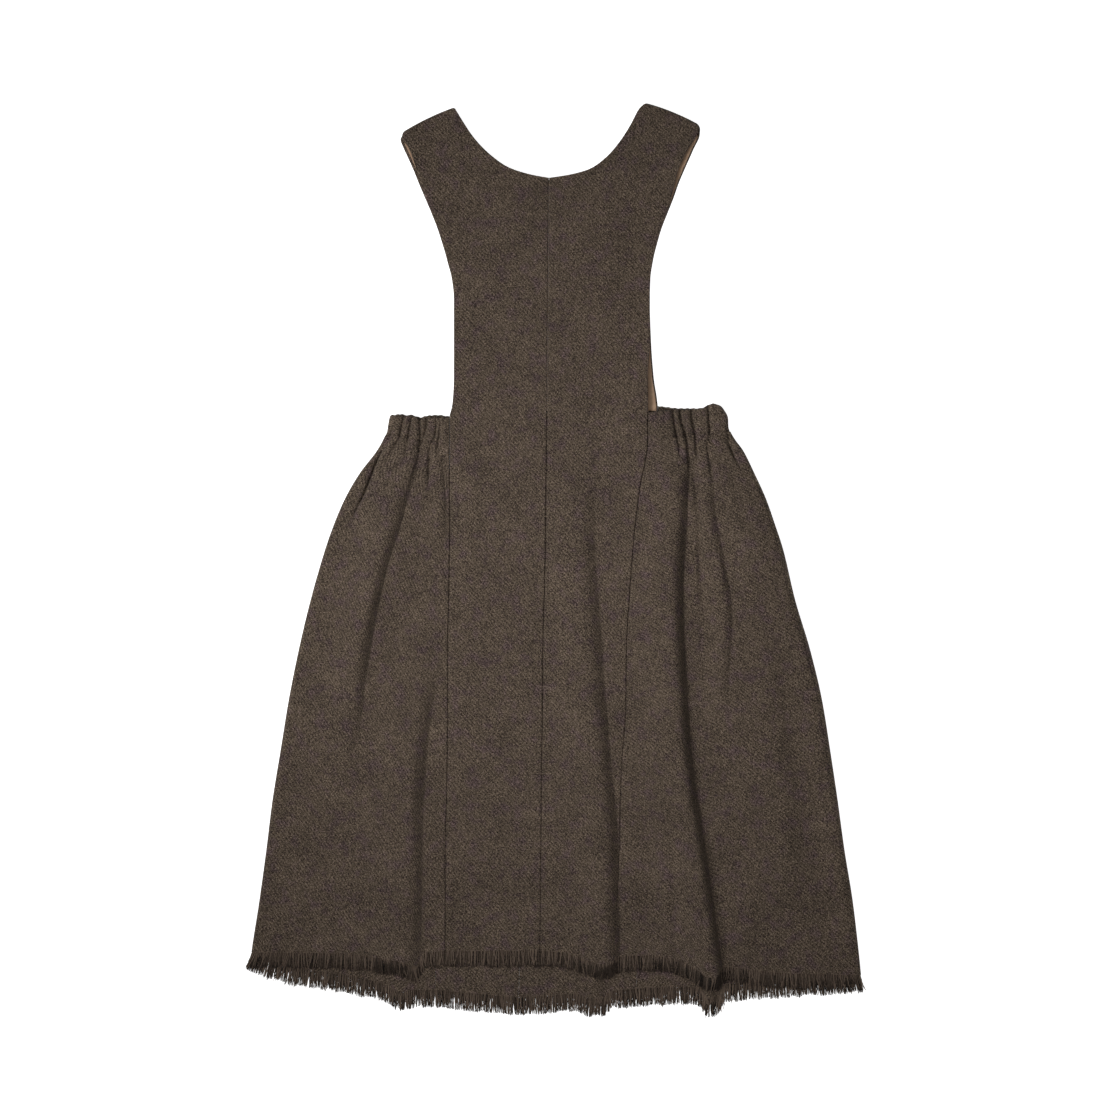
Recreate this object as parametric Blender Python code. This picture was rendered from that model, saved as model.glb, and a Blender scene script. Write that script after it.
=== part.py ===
"""A child's wool pinafore dress, laid out flat on its back.

The bib and the middle of the skirt are cut in one, as two fronts and two backs that meet in
centre seams. A wide side panel joins front to back at each side. Its top is drawn in by an
elastic casing, and it turns round the side in one piece. The hem is left raw and frayed.

Tables and sizes are in millimetres. +X is the right as seen from above, +Y points from the
hem to the shoulders, and +Z is up from the surface that the dress lies on.
"""

import math
from collections import namedtuple

import bmesh
import bpy
import numpy as np

MM = 0.001
SHARP = math.radians(50)

# Cloth
TWEED = 1.5  # thickness of the wool cloth
LINING = 1.0  # thickness of the bib lining
CASING = 4.0  # two layers of tweed with the elastic between them
SEAM_GAP = 0.3  # between two pieces at a seam
LINING_INSET = 1.2  # of the lining from the edge of the back

# Grids
SKIRT_ROWS = 16
CENTRE_COLUMNS = 12
SIDE_COLUMNS = 22
FOLD_COLUMNS = 4
BACK_COLUMNS = 8
BACK_CENTRE_COLUMNS = 7
LINING_COLUMNS = 6
CASING_ROWS = 3
STRAP_ROWS = 10
ROLL_ROWS = 3
STEEPNESS = 3.0  # how strongly the columns close up where the cloth is steep
FINE = 321  # steps in which a row's length is measured

# Fringe
LOCKS = 120  # on each of the front and back hems
STRIP = 2.0  # width of the band that the locks grow from
LOCK_THICK = 1.1
LOCK_LENGTH = (10.2, 14.0)  # shortest and longest
LOCK_HALF = (0.33, 0.42)  # half of the root's width, as a share of the room for each lock
LOCK_TIP = 0.55  # share of the root's width
LOCK_SPREAD = 0.35  # how far the locks at the sides lean outwards, as a share of their length
LOCK_WAVE = 0.08  # the same, for groups of locks that lean together
LOCK_WAVE_TURN = 0.6  # radians of that wave from one lock to the next
LOCK_STRAY = 0.04  # the same share, for each lock by itself

# Side outlines of the whole dress: y, left x, right x
OUTLINE = (
    (-332, -246.0, 244.0),
    (-312, -243.5, 242.0),
    (-270, -237.0, 237.0),
    (-230, -231.5, 230.5),
    (-190, -226.5, 225.0),
    (-150, -220.0, 219.0),
    (-110, -213.5, 212.5),
    (-70, -205.5, 203.0),
    (-30, -196.0, 191.0),
    (10, -184.5, 181.5),
    (30, -177.5, 175.0),
    (50, -169.0, 168.0),
    (70, -157.5, 159.0),
    (90, -142.5, 149.0),
    (98, -138.0, 143.0),
    (106, -135.0, 139.0),
    (115, -133.0, 138.0),
    (122, -131.0, 134.0),
)

# Front seams in the skirt: y, left x, centre x, right x
FRONT_SEAMS = (
    (-335, -89.0, -13.0, 45.0),
    (-290, -88.5, -12.6, 46.5),
    (-246, -88.5, -12.2, 50.0),
    (-165, -87.0, -11.4, 51.5),
    (-122, -86.5, -10.8, 53.5),
    (-65, -86.5, -10.4, 56.0),
    (-22, -85.5, -9.2, 59.0),
    (18, -85.0, -8.4, 62.0),
    (58, -85.0, -8.0, 65.5),
    (98, -85.0, -7.4, 72.5),
    (120, -85.0, -7.2, 73.5),
)

# Back seams in the skirt: y, left x, centre x, right x
BACK_SEAMS = (
    (-350, -97.0, -30.0, 64.0),
    (-150, -92.0, -24.0, 70.0),
    (0, -88.0, -16.0, 76.0),
    (98, -85.0, -8.5, 81.0),
    (120, -85.0, -7.6, 81.5),
)

# Lower edge of the casing and waist level of the panels: x, y
WAIST_LINE = ((-138, 102.0), (-85, 93.0), (73.5, 98.5), (144, 105.0))

# Top edge of the casing: x, front y, back y
CASING_TOP = (
    (-133, 114.0, 115.0),
    (-125, 117.5, 118.0),
    (-112, 116.0, 117.5),
    (-100, 116.0, 117.5),
    (-85, 116.5, 117.5),
    (73, 119.5, 125.5),
    (84, 121.0, 124.4),
    (100, 122.0, 122.8),
    (114, 122.5, 122.8),
    (125, 126.5, 126.5),
    (132, 124.0, 124.0),
)

# Hem of the front layer and of the back layer, each with dips where a fold runs out: x, y
FRONT_HEM = (
    (-242, -312.0),
    (-181, -312.5),
    (-149, -315.0),
    (-125, -319.0),
    (-114, -323.0),
    (-104, -312.5),
    (-89, -311.0),
    (-12, -311.0),
    (3, -312.0),
    (19, -316.0),
    (37, -321.0),
    (48, -316.0),
    (75, -314.5),
    (95, -317.0),
    (107, -323.0),
    (121, -331.0),
    (134, -323.5),
    (155, -325.5),
    (195, -329.0),
    (242, -330.0),
)
BACK_HEM = (
    (-242, -312.0),
    (-225, -320.0),
    (-205, -325.0),
    (-165, -331.0),
    (-137, -338.0),
    (-125, -344.0),
    (-112, -342.0),
    (-61, -345.5),
    (-29, -348.0),
    (18, -345.5),
    (26, -349.0),
    (38, -349.0),
    (44, -343.0),
    (107, -340.0),
    (116, -342.0),
    (120, -349.0),
    (129, -349.0),
    (135, -338.0),
    (195, -333.5),
    (242, -330.0),
)

# Armhole edge of the bib, up to where the strap starts: y, then x of the front on the left and
# right, and of the back on the left and right
ARMHOLE = (
    (98, -85.0, 73.5, -85.0, 81.0),
    (118, -85.0, 73.5, -85.0, 81.5),
    (122, -83.5, 73.5, -83.5, 81.5),
    (130, -82.4, 73.4, -82.4, 80.8),
    (147, -81.6, 73.2, -81.6, 78.2),
    (177, -81.6, 75.0, -81.6, 76.0),
    (210, -81.6, 75.0, -81.6, 75.0),
    (226, -83.2, 75.4, -83.2, 75.4),
    (240, -86.8, 77.0, -86.8, 77.4),
    (250, -89.4, 79.0, -89.4, 79.5),
)
BIB_LEVELS = (118, 130, 147, 165, 185, 205, 222, 237, 250)
BIB_CENTRE = (-7.2, -5.6)  # x of the centre seam at the waist and at the neck

# Straps, from the bib to the shoulder: armhole x, y, neck x, y, and how far the middle of the row
# bows towards the shoulder. The neck point is on the centre seam in the first rows, and then runs
# along the neckline.
ON_SEAM = 2
STRAPS = {
    "front_left": (
        (-94.4, 265.5, -5.8, 285.0, 0),
        (-100.0, 280.0, -5.6, 307.0, 0),
        (-104.0, 290.5, -19.0, 309.4, 0),
        (-107.6, 301.0, -37.0, 315.0, 0),
        (-111.2, 312.0, -53.0, 326.0, 0),
        (-114.4, 322.5, -65.5, 339.0, 0),
        (-118.4, 332.0, -74.0, 351.5, 0.6),
        (-122.8, 337.5, -78.6, 359.0, 1.2),
        (-123.0, 341.0, -80.2, 361.6, 1.4),
    ),
    "front_right": (
        (84.0, 265.5, -5.8, 285.0, 0),
        (88.8, 280.0, -5.6, 307.0, 0),
        (92.0, 291.0, 11.0, 309.6, 0),
        (94.8, 301.5, 26.5, 314.0, 0),
        (97.6, 313.0, 40.0, 323.5, 0),
        (101.6, 322.0, 50.5, 335.5, 1),
        (105.6, 330.0, 59.0, 348.5, 2),
        (112.0, 340.0, 66.5, 361.5, 3),
        (114.8, 347.0, 70.0, 364.4, 3.6),
    ),
    "back_left": (
        (-94.4, 265.5, -5.8, 284.0, 0),
        (-100.0, 280.0, -5.6, 305.5, 0),
        (-104.5, 290.5, -19.0, 308.0, 0),
        (-109.0, 301.0, -37.0, 313.5, 0),
        (-113.4, 312.0, -53.5, 324.5, 0),
        (-118.0, 322.5, -66.5, 337.5, 0),
        (-122.4, 332.0, -75.0, 350.5, 0.6),
        (-124.4, 337.7, -79.2, 358.5, 1.2),
        (-123.0, 341.0, -80.2, 361.6, 1.4),
    ),
    "back_right": (
        (84.0, 265.5, -5.8, 284.0, 0),
        (89.6, 280.0, -5.6, 305.5, 0),
        (94.0, 291.0, 11.0, 308.4, 0),
        (98.0, 302.5, 26.5, 312.6, 0),
        (102.4, 313.0, 40.5, 322.0, 0),
        (106.4, 322.0, 51.5, 334.0, 1),
        (110.4, 331.0, 60.0, 347.5, 2),
        (114.8, 340.5, 67.0, 360.5, 3),
        (115.4, 347.0, 70.0, 364.4, 3.6),
    ),
}

CASING_REACH = 125.0  # the side folds and gathers end at this height of the casing

# Height of the front layer's middle surface where it lies on the back: y, z
LIE = ((-335, 3.1), (-150, 3.1), (0, 3.6), (60, 4.4), (95, 4.7), (118, 4.6), (150, 4.0), (370, 3.9))
# What the thick casing adds to that height towards the sides: y, z
WAIST_LIFT = ((-335, 0.0), (0, 0.3), (60, 1.2), (95, 1.6), (120, 1.7), (150, 0.6), (200, 0.0))
WAIST_MIDDLE = -6.0
WAIST_LIFT_FROM, WAIST_LIFT_TO = 30.0, 78.0  # distance from the middle over which it comes in
# Height of the front layer at the side folds: y, z
SIDE_HEIGHT = ((-335, 5.5), (-200, 6.5), (0, 6.5), (55, 4.8), (95, 6.3), (125, 6.3))
SIDE_CREST, SIDE_PUFF = 3.0, 28.0  # where the side fold is highest, and how far its roundness reaches

# Folds of the front layer. Each crest falls away over a left and a right width, and leans to
# the right by a share of its height. Rows along its path are y, x, height.
Fold = namedtuple("Fold", "left right lean path")
FOLDS = {
    "left_pipe": Fold(
        left=34, right=9, lean=0.3,
        path=(
            (-158, -173, 0), (-126, -168, 1.5), (-86, -162.4, 3.5), (-46, -156, 6.5),
            (-6, -147, 8.5), (34, -132, 8.5), (66, -123, 6), (92, -114.4, 3), (112, -112, 0),
        ),
    ),
    "left_hem_pipe": Fold(
        left=40, right=11, lean=0.3,
        path=(
            (-324, -122.4, 10), (-270, -122.4, 9), (-206, -121, 8), (-158, -116, 6.5),
            (-110, -110.4, 4.5), (-62, -102.4, 1.5), (-30, -99, 0),
        ),
    ),
    "front_pipe": Fold(
        left=32, right=10, lean=0.3,
        path=(
            (-322, 36, 12), (-222, 36, 11), (-162, 33.6, 9.5), (-102, 29, 8), (-38, 24, 6.5),
            (18, 19, 5), (50, 24, 2.5), (74, 35, 0),
        ),
    ),
    "right_pipe": Fold(
        left=34, right=12, lean=0.28,
        path=(
            (-330, 121, 15), (-222, 106.5, 14), (-162, 98.4, 13), (-102, 93.6, 12),
            (-22, 89.6, 11), (38, 92, 9), (66, 95, 7), (92, 99, 3), (112, 99, 0),
        ),
    ),
    "right_gather": Fold(
        left=14, right=8, lean=0.2,
        path=(
            (-134, 128, 0), (-102, 130.4, 2), (-42, 132.8, 4), (2, 126.4, 4), (50, 118.4, 3),
            (92, 118, 1.5), (112, 118, 0),
        ),
    ),
    "right_hem_gather": Fold(
        left=14, right=9, lean=0.1,
        path=(
            (-316, 86.4, 4), (-270, 85, 4), (-222, 83, 3), (-174, 79, 0),
        ),
    ),
    "far_right_gather": Fold(
        left=22, right=14, lean=0.1,
        path=(
            (-270, 187, 0), (-222, 185.6, 2), (-158, 179, 2), (-110, 172, 2.5), (-62, 169.6, 0),
        ),
    ),
    "left_swell": Fold(
        left=62, right=50, lean=0.0,
        path=(
            (-314, -178, 3), (-200, -176, 4), (-80, -172, 3), (0, -160, 0),
        ),
    ),
    "right_swell": Fold(
        left=45, right=70, lean=0.0,
        path=(
            (-330, 172, 5), (-200, 168, 5.5), (-60, 156, 5), (40, 142, 2.5), (92, 130, 0),
        ),
    ),
    "left_side_groove": Fold(
        left=4, right=4, lean=0.0,
        path=(
            (28, -167, 0), (44, -159.5, -2.2), (59, -151.6, -3), (75, -144.5, -2.6), (92, -138, 0),
        ),
    ),
    "front_left_hollow": Fold(
        left=11, right=11, lean=0.0,
        path=(
            (-40, -56, 0), (-6, -56, -0.5), (34, -55, -0.6), (70, -55, 0),
        ),
    ),
    "armhole_edge": Fold(
        left=26, right=26, lean=0.0,
        path=(
            (118, 75, 0), (140, 75, 2.2), (175, 76, 1.8), (215, 76, 0),
        ),
    ),
    "strap_edge": Fold(
        left=20, right=20, lean=0.0,
        path=(
            (285, 94, 0), (315, 99, 1.6), (335, 108, 1.2), (344, 112, 0),
        ),
    ),
}

# Pinches of the gathered casing, which run on into the skirt. Rows along each are y, x, depth.
PINCH_WIDTH = 3.0
SCALLOP = 0.6  # dip of the casing's top edge at a pinch, as a share of the pinch's depth
PINCHES = (
    ((80, -133.6, 0), (98, -127, -1.6), (117, -121.6, -1.6)),
    ((89, -121.6, 0), (98, -119, -1.2), (117, -116, -1.2)),
    ((94, -110, 0), (101, -109.6, -0.8), (117, -109, -1.0)),
    ((74, -112, 0), (95, -108.8, -1.7), (117, -103, -1.7)),
    ((80, -101.6, 0), (94, -99, -1.4), (117, -95, -1.4)),
    ((86, -95, 0), (94, -94.4, -1.0), (117, -92, -1.0)),
    ((91, 98.4, 0), (104, 96, -1.5), (121, 94, -1.5)),
    ((74, 107.2, 0), (90, 105.6, -1.6), (104, 103.2, -1.7), (122, 100.4, -1.7)),
    ((86, 112.8, 0), (101, 111.2, -1.5), (122, 108, -1.5)),
    ((74, 120.8, 0), (98, 120.8, -1.2), (124, 122.4, -1.2)),
    ((84, 141, 0), (98, 134.4, -1.2), (122, 129, -1.4)),
)

# Small pleats of the back layer at its hem. Each has a half width, then rows y, x, height.
BACK_PLEATS = (
    (9, ((-344, -125, 3.0), (-300, -124, 1.5), (-255, -122, 0))),
    (8, ((-349, 32, 3.5), (-300, 33, 2.0), (-255, 34, 0))),
    (6, ((-349, 123, 3.5), (-310, 122, 2.0), (-265, 120, 0))),
)


def curve(xs, ys, x):
    """The smooth curve through the points xs, ys, with no overshoot, at x."""
    xs, ys = np.asarray(xs, float), np.asarray(ys, float)
    step = np.diff(xs)
    slope = np.diff(ys) / step
    tangent = np.concatenate([slope[:1], np.zeros(len(slope) - 1), slope[-1:]])
    same = slope[:-1] * slope[1:] > 0
    mean = 2 * slope[:-1] * slope[1:] / np.where(same, slope[:-1] + slope[1:], 1)
    tangent[1:-1] = np.where(same, mean, 0)
    x = np.clip(x, xs[0], xs[-1])
    k = np.clip(np.searchsorted(xs, x) - 1, 0, len(step) - 1)
    t = (x - xs[k]) / step[k]
    rise = ys[k] + (3 * t**2 - 2 * t**3) * (ys[k + 1] - ys[k])
    return rise + step[k] * ((t**3 - 2 * t**2 + t) * tangent[k] + (t**3 - t**2) * tangent[k + 1])


def column(table, number, x):
    """A table's column at x, where the table's first column is the one that x runs along."""
    rows = sorted(table)
    return curve([r[0] for r in rows], [r[number] for r in rows], x)


def bump(s):
    """1 at s = 0, falling smoothly to 0 at s = -1 and s = 1."""
    return np.where(np.abs(s) < 1, (1 - np.clip(s, -1, 1) ** 2) ** 2, 0)


def smoothstep(low, high, x):
    t = np.clip((x - low) / (high - low), 0, 1)
    return t * t * (3 - 2 * t)


def mix(a, b, share):
    return a + (b - a) * share


def pinches(x, y):
    """Depth of the gathers at a place of the casing or just below it."""
    return sum(
        column(path, 2, y) * bump((x - column(path, 1, y)) / PINCH_WIDTH) for path in PINCHES
    )


def lie_height(x, y):
    """Height of the front layer's middle surface without its folds."""
    lift = column(WAIST_LIFT, 1, y) * smoothstep(WAIST_LIFT_FROM, WAIST_LIFT_TO, np.abs(x - WAIST_MIDDLE))
    flat = column(LIE, 1, y) + lift
    inside = np.minimum(x - column(OUTLINE, 1, y), column(OUTLINE, 2, y) - x)
    edge = 1 - smoothstep(SIDE_CREST, SIDE_PUFF, inside)
    return mix(flat, column(SIDE_HEIGHT, 1, y), np.where(y < CASING_REACH, edge, 0))


def front_middle(x, y):
    """A point of the front layer's middle surface, from its place before the folds lean over."""
    x, y = np.broadcast_arrays(np.asarray(x, float), np.asarray(y, float))
    height, lean = lie_height(x, y) + np.where(y < CASING_REACH, pinches(x, y), 0), np.zeros_like(x)
    for fold in FOLDS.values():
        crest = column(fold.path, 1, y)
        rise = column(fold.path, 2, y) * bump((x - crest) / np.where(x < crest, fold.left, fold.right))
        height, lean = height + rise, lean + fold.lean * rise
    return np.stack([x + lean, y, height], axis=-1)


def front_layer(x, y):
    """Points and normals of the front layer."""
    step = TWEED / 2
    across = front_middle(x + step, y) - front_middle(x - step, y)
    along = front_middle(x, y + step) - front_middle(x, y - step)
    normal = np.cross(across, along)
    return front_middle(x, y), normal / np.linalg.norm(normal, axis=-1, keepdims=True)


def back_layer(x, y):
    """Points and normals of the back layer, which lies on the surface but for its small pleats."""
    x, y = np.broadcast_arrays(np.asarray(x, float), np.asarray(y, float))
    height = np.full_like(x, TWEED / 2)
    for half, path in BACK_PLEATS:
        height = height + column(path, 2, y) * bump((x - column(path, 1, y)) / half)
    return np.stack([x, y, height], axis=-1), np.broadcast_to((0.0, 0.0, 1.0), x.shape + (3,))


def cloth_finish(name, colour, roughness):
    material = bpy.data.materials.new(name)
    material.use_nodes = True
    shader = material.node_tree.nodes["Principled BSDF"]
    shader.inputs["Base Color"].default_value = (*colour, 1)
    shader.inputs["Roughness"].default_value = roughness
    shader.inputs["Metallic"].default_value = 0
    return material


def new_object(name, bm, material):
    mesh = bpy.data.meshes.new(name)
    bm.to_mesh(mesh)
    bm.free()
    mesh.shade_smooth()
    mesh.set_sharp_from_angle(angle=SHARP)
    mesh.materials.append(material)
    obj = bpy.data.objects.new(name, mesh)
    bpy.context.scene.collection.objects.link(obj)
    return obj


def face_out(bm):
    """Turn all faces of a closed mesh outwards."""
    bmesh.ops.recalc_face_normals(bm, faces=bm.faces)
    if bm.calc_volume(signed=True) < 0:
        bmesh.ops.reverse_faces(bm, faces=bm.faces)


def wall(points, normals, thickness, relief=0.0):
    """A closed wall of cloth on a grid of points. The relief is added to its outer side only."""
    rows, columns = points.shape[:2]
    outer = (points + normals * (thickness / 2 + np.asarray(relief))[..., None]).reshape(-1, 3)
    inner = (points - normals * (thickness / 2)).reshape(-1, 3)
    bm = bmesh.new()
    bmesh.ops.create_grid(bm, x_segments=columns - 1, y_segments=rows - 1, size=0.5)
    place = bm.verts.layers.int.new("place")
    for number, vert in enumerate(sorted(bm.verts, key=lambda v: (round(v.co.y, 4), v.co.x))):
        vert[place] = number
    raised = bmesh.ops.extrude_face_region(bm, geom=bm.faces[:], use_keep_orig=True)["geom"]
    raised = {item for item in raised if isinstance(item, bmesh.types.BMVert)}
    for vert in bm.verts:
        vert.co = (outer if vert in raised else inner)[vert[place]] * MM
    face_out(bm)
    return bm


def skirt_levels():
    """Shares of the way from the waist to the hem, closer together near the gathers."""
    share = np.linspace(0, 1, SKIRT_ROWS + 1)
    return 0.45 * share + 0.55 * share**1.6


def on_line(line, near, far, share, number=1):
    """The y of a line across a panel, at each share of the way between the panel's edges."""
    y = np.full_like(share, line[0][number])
    for _ in range(4):
        y = column(line, number, mix(near(y), far(y), share))
    return y


def skirt_grid(near, far, hem, surface, columns):
    """Places of a panel from the waist to the hem, evenly spaced along the cloth of each row."""
    fine = np.linspace(0, 1, FINE)
    waist_y, hem_y = (on_line(line, near, far, fine) for line in (WAIST_LINE, hem))
    xs, ys = [], []
    for level in skirt_levels():
        y = mix(waist_y, hem_y, level)
        x = mix(near(y), far(y), fine)
        run = np.diff(surface(x, y)[0], axis=0) * (1, 1, STEEPNESS)
        along = np.append(0, np.cumsum(np.linalg.norm(run, axis=-1)))
        share = np.interp(np.linspace(0, along[-1], columns + 1), along, fine)
        xs.append(np.interp(share, fine, x))
        ys.append(np.interp(share, fine, y))
    return np.array(xs), np.array(ys)


def bib_grid(layer, hand, columns):
    """Places of the bib and strap, from just above the waist up to the shoulder."""
    strap = np.array(STRAPS[f"{layer}_{SIDES[hand]}"], float)
    strap[:ON_SEAM, 2] += hand * SEAM_GAP / 2
    across = np.linspace(0, 1, columns + 1)
    arm_column = ("front", "back").index(layer) * 2 + (1 if hand < 0 else 2)
    waist, neck_y = BIB_LEVELS[0], strap[ON_SEAM - 1, 3]
    xs, ys = [], []
    for level in BIB_LEVELS:
        arm = column(ARMHOLE, arm_column, level) - hand * (SEAM_GAP / 2 if level == waist else 0)
        centre = mix(*BIB_CENTRE, (level - waist) / (neck_y - waist)) + hand * SEAM_GAP / 2
        xs.append(mix(arm, centre, across))
        ys.append(np.full(columns + 1, float(level)))
    neckline = np.linspace(ON_SEAM - 1, len(strap) - 1, STRAP_ROWS + 1)
    for place in np.append(np.arange(ON_SEAM - 1), neckline):
        arm_x, arm_y, neck_x, neck_y, bow = (curve(range(len(strap)), c, place) for c in strap.T)
        xs.append(mix(arm_x, neck_x, across))
        ys.append(mix(arm_y, neck_y, across) + 4 * bow * across * (1 - across))
    return np.array(xs), np.array(ys)


def shoulder_roll(shoulder, turn):
    """Rows that carry a strap round the shoulder, down from the front or up from the back."""
    along = shoulder[-1, :2] - shoulder[0, :2]
    out = np.array([-along[1], along[0]]) / np.linalg.norm(along)
    out *= np.sign(out[1])
    radius = (column(LIE, 1, shoulder[0, 1]) - TWEED / 2) / 2
    points, normals = [], []
    for k in range(1, ROLL_ROWS + 1):
        angle = (math.pi / 2 - SEAM_GAP / 2 / radius) * k / ROLL_ROWS
        shift = np.array([*(out * math.sin(angle)), turn * (math.cos(angle) - 1)])
        points.append(shoulder + shift * radius)
        normal = np.array([*(out * turn * math.sin(angle)), math.cos(angle)])
        normals.append(np.broadcast_to(normal, shoulder.shape))
    return np.array(points), np.array(normals)


def seam(table, hand, side):
    """A panel's edge at a seam of the table, half a seam gap to the given side of it."""
    return lambda y: column(table, 2 + hand, y) + side * SEAM_GAP / 2


def middle_panel(layer, hand, material):
    """A front or back cut in one from shoulder to hem. Returns the points of its hem."""
    surface, seams, hem, columns, turn = LAYERS[layer]
    skirt = skirt_grid(seam(seams, hand, -hand), seam(seams, 0, hand), hem, surface, columns)
    bib = bib_grid(layer, hand, columns)
    x, y = (np.vstack([low[::-1], high]) for low, high in zip(skirt, bib))
    points, normals = surface(x, y)
    rolled, rolled_normals = shoulder_roll(points[-1], turn)
    cloth = wall(np.vstack([points, rolled]), np.vstack([normals, rolled_normals]), TWEED)
    new_object(f"{layer}_{SIDES[hand]}", cloth, material)
    return points[0]


def lining(hand, material):
    """Lining of one half of the back bib, a little inside its edges and clear of both layers."""
    x, y = bib_grid("back", hand, LINING_COLUMNS)
    height = np.full_like(x, TWEED + SEAM_GAP + LINING / 2)
    points = np.stack([x, y, height], axis=-1)[:-1]
    arm, neck = points[:, :1], points[:, -1:]
    inset = (neck - arm) / np.linalg.norm(neck - arm, axis=-1, keepdims=True) * LINING_INSET
    neck_inset = inset.copy()
    neck_inset[: len(BIB_LEVELS) + ON_SEAM - 1] = 0
    across = np.linspace(0, 1, LINING_COLUMNS + 1)[:, None]
    points = mix(arm + inset, neck - neck_inset, across)
    normals = np.broadcast_to((0.0, 0.0, 1.0), points.shape)
    new_object(f"lining_{SIDES[hand]}", wall(points, normals, LINING), material)


def fold_start(hand, back, thickness):
    """Where the front layer starts to turn round the side, as a function of y."""
    edge = 1 if hand < 0 else 2

    def start(y):
        half = (column(SIDE_HEIGHT, 1, y) - back) / 2
        return column(OUTLINE, edge, y) - hand * (half + thickness / 2)

    return start


def side_fold(front, hand, back, thickness):
    """The half turn at the side, from the front layer's last column down to the back layer."""
    half = (front[:, 2] - back) / 2
    middle = column(OUTLINE, 1 if hand < 0 else 2, front[:, 1]) - hand * (half + thickness / 2)
    points, normals = [], []
    for k in range(1, FOLD_COLUMNS + 1):
        out, up = math.sin(math.pi * k / FOLD_COLUMNS), math.cos(math.pi * k / FOLD_COLUMNS)
        points.append(np.stack([middle + hand * half * out, front[:, 1], back + half * (1 + up)], axis=-1))
        normals.append(np.broadcast_to((hand * out, 0.0, up), front.shape))
    return np.stack(points, axis=1), np.stack(normals, axis=1)


def side_panel(hand, material):
    """The gathered side of the skirt: over the front, round the side fold and under the back.

    Returns the points of its front and back hems.
    """
    side = fold_start(hand, TWEED / 2, TWEED)
    x, y = skirt_grid(seam(FRONT_SEAMS, hand, hand), side, FRONT_HEM, front_layer, SIDE_COLUMNS)
    front, front_normals = front_layer(x, y)
    front_normals[0, :, 1] = 0  # so that the waist edge is square
    turn, turn_normals = side_fold(front[:, -1], hand, TWEED / 2, TWEED)
    x, y = skirt_grid(side, seam(BACK_SEAMS, hand, hand), BACK_HEM, back_layer, BACK_COLUMNS)
    back, back_normals = back_layer(x[:, 1:], y[:, 1:])
    points = np.concatenate([front, turn, back], axis=1)
    normals = np.concatenate([front_normals, turn_normals, -back_normals], axis=1)
    new_object(f"side_{SIDES[hand]}", wall(points, normals, TWEED), material)
    return np.vstack([front[-1], turn[-1, :1]]), np.vstack([turn[-1, -1:], back[-1]])


def casing_grid(near, far, top_number, columns):
    """Places of one layer of the casing, from its lower edge to its top edge."""
    across = np.linspace(0, 1, columns + 1)
    levels = np.linspace(0, 1, CASING_ROWS + 1)[:, None]
    low = on_line(WAIST_LINE, near, far, across) + SEAM_GAP
    y = mix(low, on_line(CASING_TOP, near, far, across, top_number), levels)
    return mix(near(y), far(y), across), y


def casing(hand, material):
    """The elastic casing of one side: a thick band, pinched by the gathers on its outside."""
    side = fold_start(hand, CASING / 2, CASING)
    x, y = casing_grid(seam(FRONT_SEAMS, hand, hand), side, 1, SIDE_COLUMNS)
    front = np.stack([x, y, lie_height(x, y)], axis=-1)
    rise = (y - y[0]) / (y[-1] - y[0])
    front[..., 1] += SCALLOP * pinches(x, y) * rise**4  # so that the top edge dips at each gather
    turn, turn_normals = side_fold(front[:, -1], hand, CASING / 2, CASING)
    x_back, y_back = casing_grid(side, seam(BACK_SEAMS, hand, hand), 2, BACK_COLUMNS)
    back = np.stack([x_back, y_back, np.full_like(x_back, CASING / 2)], axis=-1)[:, 1:]
    points = np.concatenate([front, turn, back], axis=1)
    up = np.broadcast_to((0.0, 0.0, 1.0), front.shape)
    down = np.broadcast_to((0.0, 0.0, -1.0), back.shape)
    normals = np.concatenate([up, turn_normals, down], axis=1)
    relief = np.zeros(points.shape[:2])
    relief[:, : SIDE_COLUMNS + 1] = pinches(x, y)
    new_object(f"casing_{SIDES[hand]}", wall(points, normals, CASING, relief), material)


def fringe(layer, hem_rows, seed, material):
    """Frayed threads of one hem, drawn together into locks that grow from a narrow strip."""
    rng = np.random.default_rng(seed)
    hem = np.vstack(hem_rows)
    hem = hem[np.argsort(hem[:, 0])]
    left, right = hem[0, 0], hem[-1, 0]
    pitch = (right - left) / LOCKS
    starts = left + pitch * (np.arange(LOCKS) + 0.5)
    half = pitch * rng.uniform(*LOCK_HALF, LOCKS)
    x = np.sort(np.concatenate([[left], starts - half, starts + half, [right]]))
    fine = np.linspace(left, right, 10 * FINE)
    fine_y = np.interp(fine, hem[:, 0], hem[:, 1])
    before, after = np.append(left, x[:-1]), np.append(x[1:], right)
    edge_y = np.array([fine_y[(fine >= a) & (fine <= b)].min() for a, b in zip(before, after)]) - SEAM_GAP
    height = np.interp(x, hem[:, 0], hem[:, 2])
    points = np.array([np.stack([x, edge_y - down, height], axis=-1) for down in (0, STRIP)])
    up = np.broadcast_to((0.0, 0.0, 1.0), points.shape)
    bm = wall(points, up, LOCK_THICK)
    edge_faces = [f for f in bm.faces if f.normal.y < -0.5]
    edge_faces.sort(key=lambda f: f.calc_center_median().x)
    middle = (left + right) / 2
    locks = bmesh.ops.extrude_discrete_faces(bm, faces=edge_faces[1::2])["faces"]
    for number, face in enumerate(locks):
        centre = face.calc_center_median()
        length = rng.uniform(*LOCK_LENGTH) * MM
        spread = LOCK_SPREAD * (centre.x / MM - middle) / (right - middle)
        wave = LOCK_WAVE * math.sin(number * LOCK_WAVE_TURN)
        sway = length * (spread + wave + LOCK_STRAY * rng.uniform(-1, 1))
        for vert in face.verts:
            vert.co.x = centre.x + (vert.co.x - centre.x) * LOCK_TIP + sway
            vert.co.z = centre.z + (vert.co.z - centre.z) * LOCK_TIP
            vert.co.y -= length
    face_out(bm)
    new_object(f"fringe_{layer}", bm, material)


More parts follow.
